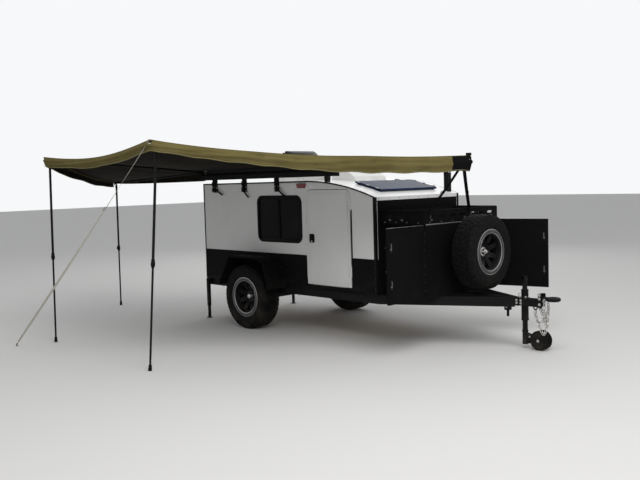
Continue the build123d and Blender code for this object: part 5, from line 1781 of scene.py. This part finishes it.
def makeJackWheels(place):
    tyre, centre = newForms(2)
    for side in (-1, 1):
        middle = (place["wheelX"], place["y"] + side * place["track"], place["axle"])
        tyre.turned([(-0.0215, 0.058), (-0.022, 0.074), (-0.0205, 0.088), (-0.016, 0.099),
            (-0.0085, 0.1042), (-0.005, 0.1048), (-0.0042, 0.1022), (-0.002, 0.1022), (-0.0012, 0.1049),
            (0.0012, 0.1049), (0.002, 0.1022), (0.0042, 0.1022), (0.005, 0.1048), (0.0085, 0.1042),
            (0.016, 0.099), (0.0205, 0.088), (0.022, 0.074), (0.0215, 0.058)], middle, leftward, 56, True)
        centre.turned([(-0.019, 0.058), (-0.019, 0.048), (-0.012, 0.044), (-0.012, 0.022), (-0.0218, 0.02),
            (-0.0218, 0.01015), (0.0218, 0.01015), (0.0218, 0.02), (0.012, 0.022), (0.012, 0.044),
            (0.019, 0.048), (0.019, 0.058)], middle, leftward, 40, True)
        for angle in around(6):
            spot = Vector(middle) + Vector((cos(angle), 0, sin(angle))) * 0.033
            centre.turned([(0.0115, 0.0048), (0.015, 0.0044), (0.016, 0)], spot, (0, side, 0), 6)
    return tyre, centre


make(makeTongueBolts(), "tongueBolts", "zinc")
make(makeTongueWelds(), "tongueWelds", "chassis")
makeAll(makeChains(tongueSizes), (
    ("safetyChains", "zinc"),
    ("chainHooks", "zinc"),
))
makeAll(makeJackParts(jackPlace), (
    ("jackGrips", "seal", 0.0, "jack_black"),
    ("jackCollars", "chassis", 0.0, "jack_black"),
    ("jackPinRing", "zinc"),
))
makeAll(makeCasterParts(jackPlace), (
    ("casterCollars", "chassis", 0.0, "jack_black", "jack_caster"),
    ("casterBolts", "zinc", 0.0, None, "jack_caster"),
))
jackTyre, jackCentre = makeJackWheels(jackPlace)
jackTyres = make(jackTyre, "jackTyres", "rubber", body="jack_wheel")
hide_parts("jack_wheel")
make(jackCentre, "jackWheelCentres", "rimDark", body="jack_wheel")
print("tongue and jack details made")


# Roof: vent, cover, solar panel, lamp
roofSizes = {"vent": (1.02, 1.45, 0.27, 1.854), "cover": (2.02, 2.45, 0.28), "lidTilt": 40.0}


noseArc = {"start": 2.05, "top": 1.854, "radius": 3.29225}


def noseHeight(x):  # the roof's outer line
    top, radius, run = noseArc["top"], noseArc["radius"], x - noseArc["start"]
    return top if run <= 0 else top - (radius - sqrt(radius**2 - run**2))


def noseSlope(x):
    return asin(max(x - noseArc["start"], 0.0) / noseArc["radius"])


def alongRoof(x, y, lift):  # a place on the roof, raised square to it
    slope = noseSlope(x)
    return Vector((x + sin(slope) * lift, y, noseHeight(x) + cos(slope) * lift))


def makeVentParts(sizes):
    flange, lid, screws, fan = newForms(4)
    x0, x1, half, low = sizes["vent"]
    for z0, z1, out in ((low, low + 0.004, 0.026), (low + 0.004, low + 0.014, 0.012)):
        outer = roundedCorners((x0 - out, x1 + out), (-half - out, half + out), 0.035, 6)
        inner = roundedCorners((x0 + 0.004, x1 - 0.004), (-half + 0.004, half - 0.004), 0.02, 6)
        flange.collar("z", outer, inner, z0, z1)
    places = [(x, y) for x in spread(x0 - 0.008, x1 + 0.008, 4) for y in (-half - 0.017, half + 0.017)]
    places += [(x, y) for y in spread(-0.2, 0.2, 3) for x in (x0 - 0.017, x1 + 0.017)]
    for x, y in places:
        screws.turned([(0, 0.0048), (0.0015, 0.0044), (0.0028, 0.0022), (0.0028, 0)], (x, y, low + 0.004),
            upward, 10)
    # lid, drawn closed: a crown with pressed ribs and a turned-down rim
    crown = []
    for inset, z in ((0.002, 1.9745), (0.004, 1.983), (0.012, 1.9925), (0.03, 2.0), (0.07, 2.005),
            (0.13, 2.0075)):
        outline = roundedCorners((1.01 + inset, 1.454 - inset), (-0.28 + inset, 0.28 - inset),
            0.034 + inset * 0.3, 6)
        crown.append(onPlane("z", outline, z))
    lid.loft(crown)
    for y in spread(-0.13, 0.13, 3):
        lid.loft([[(x, y - 0.01, z), (x + run, y - 0.01, z), (x + run, y + 0.01, z), (x, y + 0.01, z)]
            for x, run, z in ((1.15, 0.164, 2.006), (1.156, 0.152, 2.0105))])
    outer = roundedCorners((1.006, 1.456), (-0.286, 0.286), 0.03, 6)
    inner = roundedCorners((1.012, 1.45), (-0.28, 0.28), 0.026, 6)
    lid.loft([onPlane("z", outline, z)
        for outline, z in ((outer, 1.925), (outer, 1.933), (inner, 1.935), (inner, 1.925))], False, True)
    swing = (Matrix.Translation((1.458, 0, 1.928)) @ Matrix.Rotation(radians(sizes["lidTilt"]), 4, "Y")
        @ Matrix.Translation((-1.458, 0, -1.928)))
    # fan and its grille inside the base
    fan.turned([(0, 0.03), (0.012, 0.03), (0.016, 0.022), (0.016, 0)], (1.235, 0, 1.868), upward, 24)
    hub = Vector((1.235, 0, 1.874))
    for angle in around(10):
        out, turn = Vector((cos(angle), sin(angle), 0)), Vector((-sin(angle), cos(angle), 0))
        rings = []
        for reach, wide in ((0.024, 0.01), (0.095, 0.024), (0.145, 0.03)):
            section = ((-wide, -0.008), (wide, 0.006), (wide, 0.008), (-wide, -0.006))
            rings.append([hub + out * reach + turn * width + Vector((0, 0, lift))
                for width, lift in section])
        fan.loft(rings)
    for reach in (0.155, 0.162):
        fan.turned([(0, reach), (0.03, reach), (0.03, reach + 0.004), (0, reach + 0.004)],
            (1.235, 0, 1.858), upward, 40, True)
    hub = Vector((1.235, 0, 1.866))
    for angle in (45, 135, 225, 315):
        out = Vector((cos(radians(angle)), sin(radians(angle)), 0))
        fan.tube([hub + out * 0.028, hub + out * 0.245], 0.004, 8)
    return flange, Form().merge(lid, swing), screws, fan


def makeCoverParts(sizes):
    flange, slats, screws = newForms(3)
    x0, x1, half = sizes["cover"]
    out, thick = 0.022, 0.0045
    outer = roundedCorners((x0 - out, x1 + out), (-half - out, half + out), 0.03, 6)
    inner = roundedCorners((x0 + 0.01, x1 - 0.01), (-half + 0.01, half - 0.01), 0.02, 6)
    flange.loft([[alongRoof(a, b, lift) for a, b in outline]
        for outline, lift in ((outer, 0.0), (outer, thick), (inner, thick), (inner, 0.0))], False, True)
    for x in spread(x0 + 0.01, x1 - 0.01, 5):
        for y in (-half - 0.013, half + 0.013):
            square = alongRoof(x, y, 1) - alongRoof(x, y, 0)
            screws.turned([(0, 0.0045), (0.0014, 0.0042), (0.0026, 0.0022), (0.0026, 0)],
                alongRoof(x, y, thick), square, 10)
    for side in (-1, 1):  # pressed louvres down both flanks
        for x in spread(x0 + 0.07, x1 - 0.11, 6):
            base = noseHeight(x) + 0.02
            back, face = side * (half - 0.001), side * (half + 0.0045)
            slats.loft([[(x, back, base), (x + 0.034, back, base - 0.002), (x + 0.034, back, base + 0.005),
                (x, back, base + 0.007)], [(x + 0.003, face, base + 0.001), (x + 0.031, face, base - 0.001),
                (x + 0.031, face, base + 0.001), (x + 0.003, face, base + 0.003)]])
    return flange, slats, screws


def makeSolarParts():
    clamps, gland = newForms(2)
    lean = radians(13.97)
    down = Vector((cos(lean), 0, -sin(lean)))
    up = Vector((sin(lean), 0, cos(lean)))
    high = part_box("solar_panel")[1]
    # the panel's top face passes through its highest rear edge
    rear = Vector((high.x - rearX - 0.41 * cos(lean), 0, high.z - groundZ))
    top = rear + down * 0.205
    for y in (-0.512, 0.512):
        for step in (-0.15, 0.0, 0.15):
            spot = top + down * step + Vector((0, y, 0))
            side = copysign(1, y)
            foot = ((-0.018, -0.012), (0.018, -0.012), (0.018, 0.018), (-0.018, 0.018))
            clamps.loft([[spot + down * a + Vector((0, side * b, 0)) + up * c for a, b in foot]
                for c in (0.0002, 0.0036)])
            clamps.bolt(spot + Vector((0, side * 0.004, 0)) + up * 0.0034, up, 0.01, 0.005)
    box = top - down * 0.235 + Vector((0, 0.3, 0)) - up * 0.018
    outline = ((-0.03, -0.04), (0.024, -0.04), (0.024, 0.04), (-0.03, 0.04))
    gland.loft([[box + down * a + Vector((0, b, 0)) + up * c for a, b in outline] for c in (-0.014, 0.012)])
    gland.turned([(0, 0.012), (0.01, 0.012), (0.012, 0.008), (0.022, 0.008), (0.022, 0)],
        box - down * 0.03 + up * 0.002, -down, 14)
    return clamps, gland


makeAll(makeVentParts(roofSizes), (
    ("ventFlange", "whitePlastic", 0.0008),
    ("ventLidRibs", "smoked", 0.0012, None, "vent_lid"),
    ("ventScrews", "zinc", 0.0, "vent_white"),
    ("ventFan", "blackPlastic", 0.0, "vent_white"),
))
makeAll(makeCoverParts(roofSizes), (
    ("coverFlange", "whitePlastic", 0.0008),
    ("coverLouvres", "whitePlastic", 0.0008),
    ("coverScrews", "zinc", 0.0, "vent_white"),
))
makeAll(makeSolarParts(), (
    ("solarClamps", "bareEdge", 0.0005, "zinc_steel"),
    ("solarJunctionBox", "blackPlastic", 0.003),
))


def makeRoofLamp():
    body, lens, fins = newForms(3)
    body.block((3.066, 3.134), (0.62, 0.704), (1.9385, 1.9425))
    for z in spread(1.872, 1.924, 6):
        fins.block((3.0655, 3.0705), (0.63, 0.694), (z, z + 0.0035))
    for y in (0.6455, 0.6785):
        lens.turned([(-0.002, 0.0125), (0.0012, 0.0125), (0.0036, 0.0085), (0.0045, 0.0)], (3.13, y, 1.916),
            forward, 20)
        body.turned([(-0.001, 0.015), (0.003, 0.015), (0.0035, 0.0128), (-0.001, 0.0128)], (3.13, y, 1.916),
            forward, 20, True)
    return body, lens, fins


makeAll(makeRoofLamp(), (
    ("roofLampShell", "blackPlastic", 0.0008),
    ("roofLampGlass", "clearLens"),
    ("roofLampFins", "blackPlastic"),
))


def makeMarkerParts():  # a bezel round each side marker, and a tail lamp's rim with its inner lenses
    bezel, clear, screws = newForms(3)
    x0, x1 = 1.936, 2.06  # the side marker
    outline = [(x0, 1.767), (x1, 1.767), (x1 - 0.012, 1.8225), (x0 + 0.012, 1.8225)]
    inner = [(x0 + 0.006, 1.7705), (x1 - 0.006, 1.7705), (x1 - 0.016, 1.819), (x0 + 0.016, 1.819)]
    bezel.collar("y", outline, inner, bodySide, -0.77)
    tail = [(-a, b) for a, b in roundedCorners((0.606, 0.758), (0.644, 0.736), 0.016, 5)]
    hole = [(-a, b) for a, b in roundedCorners((0.6115, 0.7525), (0.6495, 0.7305), 0.012, 5)]
    bezel.collar("x", tail, hole, -0.001, -0.014)
    clear.loft([[(-0.0215, -a, b) for a, b in roundedCorners((0.664, 0.7), (0.656, 0.724), 0.006, 4)],
        [(-0.0236, -a, b) for a, b in roundedCorners((0.667, 0.697), (0.659, 0.721), 0.005, 4)]])
    for y in (0.62, 0.744):
        screws.turned([(0, 0.0036), (0.0014, 0.0034), (0.0022, 0.0018), (0.0022, 0)], (-0.0219, -y, 0.69),
            rearward, 8)
    return bezel.mirrored(), clear.mirrored(), screws.mirrored()


makeAll(makeMarkerParts(), (
    ("lampBezels", "blackPlastic", 0.0008),
    ("reverseLenses", "clearLens", 0.0006),
    ("lampScrews", "zinc", 0.0, "red_lens"),
))
print("roof and lamps made")


# Mudguards, chassis, legs and the tail
guardLine = [(0.657, 0.54), (0.9, 0.92), (1.424, 0.92), (1.556, 0.874), (1.667, 0.54)]


def makeGuardParts(line):
    edge, bolts, liner = newForms(3)
    out, back = -1.062, bodySide
    path = [(line[0][0], out, line[0][1])]
    for before, here, after in zip(line, line[1:], line[2:]):
        first = Vector((before[0] - here[0], 0, before[1] - here[1])).normalized()
        last = Vector((after[0] - here[0], 0, after[1] - here[1])).normalized()
        spot = Vector((here[0], out, here[1]))
        path += [spot + first * 0.014, spot + (first + last) * 0.002, spot + last * 0.014]
    path.append((line[-1][0], out, line[-1][1]))
    edge.tube(path, 0.0042, 10)
    for first, last in zip(line, line[1:]):
        start, end = Vector((first[0], 0, first[1])), Vector((last[0], 0, last[1]))
        length = (end - start).length
        count = max(2, int(length / 0.17))
        normal = Vector((-(end - start).z, 0, (end - start).x)).normalized()
        for index in range(count):
            spot = start.lerp(end, (index + 0.5) / count)
            bolts.bolt((spot.x + normal.x * 0.0004, back - 0.016, spot.z + normal.z * 0.0004),
                (normal.x, 0, normal.z), 0.01, 0.005)
        # pressed rib along each flat of the guard
        if length > 0.2:
            side = (end - start).normalized()
            low, high = start + side * 0.05, end - side * 0.05
            section = ((-0.012, 0.0), (0.012, 0.0), (0.007, 0.003), (-0.007, 0.003))
            for y in (-0.985, -0.84):
                liner.loft([[spot + Vector((0, y + width, 0)) + normal * lift for width, lift in section]
                    for spot in (low, high)])
    return edge.mirrored(), bolts.mirrored(), liner.mirrored()


makeAll(makeGuardParts(guardLine), (
    ("mudguardRims", "boxBlack", 0.0, "guard_black"),
    ("mudguardBolts", "castIron", 0.0, "guard_black"),
    ("mudguardRibs", "texturedBlack", 0.0006, "guard_black"),
))


def makeChassisParts():
    bolts, welds, pads = newForms(3)
    for x in (0.3, 0.85, 1.85, 2.4, 2.95):
        for y in (-0.715, 0.715):
            bolts.bolt((x, y, 0.4602), downward, 0.018, 0.009)
    for y in (-0.6, -0.2, 0.2, 0.6):
        bolts.bolt((-0.0598, y, 0.5), rearward, 0.016, 0.008)
    for x in (1.245, 1.379):  # axle clamps
        for y in (-0.7, 0.7):
            bolts.bolt((x, y, 0.4602), downward, 0.02, 0.01)
    for y in (-0.69, 0.69):
        for x in (1.272, 1.352):
            welds.tube([(x, y * 0.93, 0.4545), (x, y * 0.8, 0.4545)], 0.0035, 6)
    welds.block((-0.0035, 0.0004), (-0.76, 0.76), (0.548, 0.608))  # sill angle over the floor's edge
    for side in (-1, 1):  # rubber bump stops over the swing arms
        pads.turned([(0, 0.022), (0.012, 0.024), (0.026, 0.018), (0.034, 0.01), (0.034, 0)],
            (1.05, side * 0.715, 0.46), downward, 20)
        pads.block((-0.0605, -0.0585), (side * 0.45 - 0.05, side * 0.45 + 0.05), (0.474, 0.486))
    return bolts, welds, pads


makeAll(makeChassisParts(), (
    ("chassisBolts", "castIron"),
    ("axleWelds", "chassis"),
    ("bumpStops", "seal", 0.001, "jack_rubber"),
))


def makeLegParts():  # holes' rims, pull pin and foot treads on one drop leg
    rims, steel = newForms(2)
    x, y = 0.06, -0.785
    for z in spread(0.235, 0.435, 6):
        for side in (-1, 1):
            rims.turned([(0, 0.009), (0.0014, 0.0088), (0.0014, 0.0062), (0, 0.0062)],
                (x, y + side * 0.0199, z), (0, side, 0), 16, True)
    steel.turned([(0, 0.0055), (0.016, 0.0055), (0.018, 0.004), (0.018, 0)], (x, y - 0.02, 0.235),
        rightward, 12)
    steel.tube([(x + 0.013 * cos(turn), y - 0.035, 0.224 + 0.013 * sin(turn)) for turn in around(16)],
        0.0018, 7, True)
    rims.turned([(0.168, 0.029), (0.174, 0.029), (0.174, 0.022), (0.168, 0.022)], (x, y, 0.0), upward, 4,
        True)
    return rims, steel


for side, flip in (("right", None), ("left", flipSide)):
    body = side + "_rear_leg"
    makeAll([Form().merge(form, flip) for form in makeLegParts()], (
        (side + "LegRims", "chassis", 0.0, None, body),
        (side + "LegPin", "zinc", 0.0, None, body),
    ))


def makeHatchParts():
    seal, metal, dish, panel = newForms(4)
    outer = roundedCorners((-0.715, 0.715), (0.966, 1.799), 0.03, 6)
    inner = roundedCorners((-0.703, 0.703), (0.978, 1.787), 0.02, 6)
    seal.collar("x", outer, inner, -0.0015, 0.001)
    for z0, z1 in ((1.03, 1.34), (1.4, 1.73)):  # two pressed fields
        outer = roundedCorners((-0.62, 0.62), (z0, z1), 0.04, 6)
        inner = roundedCorners((-0.606, 0.606), (z0 + 0.014, z1 - 0.014), 0.03, 6)
        panel.loft([[(0.0005, a, b) for a, b in outer], [(-0.003, a * 0.997, b) for a, b in outer],
            [(-0.003, a * 1.003, b) for a, b in inner], [(0.0005, a, b) for a, b in inner]], False, True)
    for y in (-0.42, 0.42):
        rim = roundedCorners((y - 0.06, y + 0.06), (0.99, 1.022), 0.01, 5)
        dish.slab("x", rim, (0.0003, -0.005))
        bow = ((-0.005, -0.04), (-0.02, -0.03), (-0.022, 0.0), (-0.02, 0.03), (-0.005, 0.04))
        metal.tube(archPath([(x, y + run, 1.006) for x, run in bow], 5), 0.0055, 10)
        metal.turned([(0, 0.0085), (0.003, 0.0085), (0.004, 0.007), (0.004, 0)], (-0.005, y + 0.05, 1.006),
            rearward, 16)
    for y in spread(-0.66, 0.66, 13):
        metal.turned([(0, 0.004), (0.0014, 0.0036), (0.0022, 0.0)], (0.0003, y, 1.776), rearward, 8)
    return seal, metal, dish, panel


makeAll(makeHatchParts(), (
    ("hatchSeal", "seal", 0.0006, None, "rear_hatch"),
    ("hatchHandles", "castIron", 0.0, "black_trim", "rear_hatch"),
    ("hatchDishes", "blackPlastic", 0.001, None, "rear_hatch"),
    ("hatchPressing", "whitePaint", 0.0006, None, "rear_hatch"),
))
print("mudguards, legs and hatch made")


# Galley and cabin inside
cabin = {"mattress": (0.733, 2.762, 0.709, 0.5983, 0.718), "inset": 0.008, "voxel": 0.02, "pressure": 4.0,
         "frames": 16, "farthest": 0.012, "quilt": 0.26, "seam": 0.007, "seamWidth": 0.016,
         "heldHeight": 0.006, "topHeight": 0.08}


def makeGalley():
    fronts, pulls, edges, sink, hob = newForms(5)
    for y0, y1 in ((-0.716, -0.004), (0.004, 0.716)):  # cupboard doors above the shelf
        face = roundedCorners((y0, y1), (1.419, 1.796), 0.006, 3)
        fronts.slab("x", face, (0.44, 0.426))
        middle = copysign(0.062, y0 + y1)
        pulls.turned([(-0.001, 0.021), (0.0025, 0.021), (0.0035, 0.018), (0.0035, 0.012), (0.006, 0.012),
            (0.008, 0.009), (0.008, 0)], (0.426, middle, 1.48), rearward, 24)
        for hinge in (-0.6, -0.16):
            spot = abs(hinge) * copysign(1, y0 + y1)
            pulls.block((0.4245, 0.4262), (spot - 0.03, spot + 0.03), (1.752, 1.792))
            pulls.tube([(0.4238, spot - 0.03, 1.7945), (0.4238, spot + 0.03, 1.7945)], 0.0045, 8)
    lid = roundedCorners((0.5, 0.675), (-0.64, 0.2), 0.012, 4)  # lift-out board over the locker
    fronts.slab("z", lid, (0.9478, 0.956))
    for y in (-0.4, -0.04):
        pulls.turned([(0, 0.017), (0.001, 0.017), (0.001, 0.012), (0.0002, 0.011), (0.0002, 0)],
            (0.587, y, 0.956), upward, 20)
    for x, z in ((0.0395, 0.939), (0.44, 1.409)):
        edges.tube([(x, -0.716, z), (x, 0.716, z)], 0.0085, 10)
    rim = roundedCorners((0.12, 0.44), (0.24, 0.6), 0.04, 6)
    hollow = roundedCorners((0.135, 0.425), (0.255, 0.585), 0.032, 6)
    sink.loft([onPlane("z", outline, z)
        for outline, z in ((rim, 0.9482), (rim, 0.951), (hollow, 0.9505), (hollow, 0.9488))])
    sink.tube(archPath([(0.5, 0.42, 0.948), (0.5, 0.42, 1.06), (0.47, 0.42, 1.11), (0.4, 0.42, 1.115),
        (0.345, 0.42, 1.075)], 6), 0.0095, 12)
    sink.turned([(0, 0.018), (0.02, 0.018), (0.026, 0.012), (0.026, 0)], (0.5, 0.42, 0.948), upward, 20)
    top = roundedCorners((0.1, 0.46), (-0.62, -0.1), 0.02, 5)
    hob.slab("z", top, (0.9482, 0.956))
    for y in (-0.49, -0.23):
        hob.turned([(0, 0.045), (0.01, 0.045), (0.014, 0.03), (0.018, 0.03), (0.018, 0)], (0.28, y, 0.955),
            upward, 28)
        for angle in range(0, 360, 60):
            out = Vector((cos(radians(angle)), sin(radians(angle)), 0))
            centre = Vector((0.28, y, 0.98))
            hob.tube([centre + out * 0.025, centre + out * 0.1, centre + out * 0.1 - Vector((0, 0, 0.024))],
                0.0035, 7)
        hob.turned([(0, 0.014), (0.014, 0.012), (0.014, 0)], (0.13, y, 0.955), upward, 16)
    return fronts, pulls, edges, sink, hob


makeAll(makeGalley(), (
    ("galleyFronts", "ply", 0.0012),
    ("galleyPulls", "blackPlastic"),
    ("galleyEdges", "ply"),
    ("galleySink", "sink", 0.0008),
    ("galleyHob", "blackPlastic", 0.0008),
))


def makeCabinTrim():
    lining, edges, lamps = newForms(3)
    for x in (1.1, 2.55):  # ceiling battens and wall rails
        heights = (noseHeight(x) - 0.059, noseHeight(x) - 0.044) if x > noseArc["start"] else (1.801, 1.8092)
        edges.block((x - 0.02, x + 0.02), (-0.715, 0.715), heights)
    for x in (0.745, 1.08):
        for y in ((-0.7245, -0.714), (0.714, 0.7245)):
            edges.block((x, x + 0.02), y, (0.76, 1.48))
    for y in (-0.55, 0.55):
        lamps.turned([(0, 0.034), (0.01, 0.034), (0.016, 0.026), (0.016, 0)], (1.7, y, 1.809), downward, 28)
    swell = ((0.8, 0.711), (0.86, 0.702), (1.0, 0.696), (1.02, 0.698))
    for side in (-1, 1):  # cloth pocket beside the bed
        lining.loft([[(0.79, side * 0.7245, z), (1.055, side * 0.7245, z), (1.055, side * reach, z),
            (0.79, side * reach, z)] for z, reach in swell])
    return lining, edges, lamps


makeAll(makeCabinTrim(), (
    ("cabinPockets", "lining", 0.004),
    ("cabinBattens", "ply", 0.001),
    ("cabinLamps", "clearLens", 0.0, "white_paint"),
))


def settle(piece, modifier):  # takes a modifier's result into the mesh
    shown = piece.evaluated_get(bpy.context.evaluated_depsgraph_get())
    mesh = bpy.data.meshes.new_from_object(shown)
    piece.modifiers.remove(modifier)
    mesh.transform(piece.matrix_world.inverted() @ shown.matrix_world)
    piece.data = mesh


def makeMattress(values):
    # the bed drawn a little small, remeshed and filled with air as cloth, its bottom held, then quilted
    x0, x1, half, low, top = values["mattress"]
    form, inset = Form(), values["inset"]
    outline = roundedCorners((x0 + inset, x1 - inset), (-half + inset, half - inset), 0.05, 6)
    middle = (x0 + x1) / 2
    heights = ((low + 0.0005, 0.004), (low + 0.012, 0.0), (top - 0.022, 0.0), (top - 0.008, 0.004))
    form.loft([[(middle + (a - middle) * (1 - shrink), b * (1 - shrink), z) for a, b in outline]
        for z, shrink in heights])
    piece = make(form, "mattressPad", "mattress")
    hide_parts("mattress")
    remesh = piece.modifiers.new("remesh", "REMESH")
    remesh.mode = "VOXEL"
    remesh.voxel_size = values["voxel"]
    settle(piece, remesh)
    start = [vertex.co.copy() for vertex in piece.data.vertices]
    held = piece.vertex_groups.new(name="held")
    floor = groundZ + low
    held.add([index for index, place in enumerate(start) if place.z < floor + values["heldHeight"]], 1.0,
        "REPLACE")
    cloth = piece.modifiers.new("cloth", "CLOTH")
    cloth.settings.quality = 4
    cloth.settings.use_pressure = True
    cloth.settings.uniform_pressure_force = values["pressure"]
    cloth.settings.effector_weights.gravity = 0.0
    cloth.settings.vertex_group_mass = "held"
    for step in range(1, values["frames"] + 1):
        scene.frame_set(step)
    settle(piece, cloth)
    scene.frame_set(1)
    for vertex, place in zip(piece.data.vertices, start):
        moved = vertex.co - place
        if moved.length > values["farthest"]:
            moved *= values["farthest"] / moved.length
        vertex.co = place + moved
        across, along = vertex.co.y / values["quilt"], (vertex.co.x - rearX - middle) / values["quilt"]
        if vertex.co.z > floor + values["topHeight"]:  # sewn channels cross the top in diamonds
            slants = (across + along, across - along)
            line = min(abs(value - round(value)) for value in slants) * values["quilt"]
            vertex.co.z -= values["seam"] * exp(-(line / values["seamWidth"])**2)
        vertex.co.z = max(vertex.co.z, floor)
    smooth = piece.modifiers.new("smooth", "SUBSURF")
    smooth.levels = smooth.render_levels = 1
    settle(piece, smooth)
    piece.data.shade_smooth()
    return piece


mattressPad = makeMattress(cabin)


def makePiping(values):  # cord sewn round the bed's top and bottom edges
    x0, x1, half, low, top = values["mattress"]
    form = Form()
    for z, out in ((low + 0.016, 0.001), (top - 0.02, 0.003)):
        ring = roundedCorners((x0 + 0.004 - out, x1 - 0.004 + out),
            (-half + 0.004 - out, half - 0.004 + out), 0.052, 8)
        form.tube(onPlane("z", ring, z), 0.0038, 8, True)
    return form


make(makePiping(cabin), "mattressPiping", "blackWebbing", slot="mattress_cloth")
print("galley and cabin made")


# Floor, world and lamps
studio = {"floorHalf": 60.0, "worldLight": 0.5, "keyPower": 580.0, "keyPlace": (8.2, -4.2, 7.6),
          "keySize": 6.0, "fillPower": 160.0, "fillPlace": (-4.0, 7.0, 6.0), "fillSize": 7.0}


def makeStudio(values):
    mesh = bpy.data.meshes.new("floor")
    reach = values["floorHalf"]
    corners = [at(x, y, 0.0) for x, y in ((-reach, -reach), (reach, -reach), (reach, reach),
        (-reach, reach))]
    mesh.from_pydata(corners, [], [(0, 1, 2, 3)])
    floor = bpy.data.objects.new("floor", mesh)
    scene.collection.objects.link(floor)
    ground = Finish("floorPaint", Roughness=0.9, Specular_IOR_Level=0.2)
    ground.use("Base Color", ground.mix(ground.noise(0.6) * 0.15, colours["floor"], colours["floorShade"]))
    mesh.materials.append(ground.material)
    world = bpy.data.worlds.new("studioSky")
    scene.world = world
    world.use_nodes = True
    tree = world.node_tree
    sky = tree.nodes["Background"]
    seen = tree.nodes.new("ShaderNodeBackground")
    seen.inputs["Color"].default_value = colours["backdrop"]
    sky.inputs["Color"].default_value = colours["sky"]
    sky.inputs["Strength"].default_value = values["worldLight"]
    path = tree.nodes.new("ShaderNodeLightPath")
    either, also = tree.nodes.new("ShaderNodeMath"), tree.nodes.new("ShaderNodeMath")
    either.operation = also.operation = "MAXIMUM"
    choose = tree.nodes.new("ShaderNodeMixShader")
    rays = [path.outputs["Is " + kind + " Ray"] for kind in ("Camera", "Glossy", "Transmission")]
    for first, second in ((rays[0], either.inputs[0]), (rays[1], either.inputs[1]),
            (either.outputs[0], also.inputs[0]), (rays[2], also.inputs[1]),
            (also.outputs[0], choose.inputs[0]), (sky.outputs[0], choose.inputs[1]),
            (seen.outputs[0], choose.inputs[2]), (choose.outputs[0], tree.nodes["World Output"].inputs[0])):
        tree.links.new(first, second)
    for name in ("key", "fill"):
        data = bpy.data.lights.new(name + "Lamp", "AREA")
        data.energy = values[name + "Power"]
        data.size = values[name + "Size"]
        lamp = bpy.data.objects.new(name + "Lamp", data)
        lamp.location = at(*values[name + "Place"])
        lamp.rotation_mode = "QUATERNION"
        lamp.rotation_quaternion = (at(1.5, -0.5, 0.8) - lamp.location).to_track_quat("-Z", "Y")
        scene.collection.objects.link(lamp)


makeStudio(studio)
print("studio set")
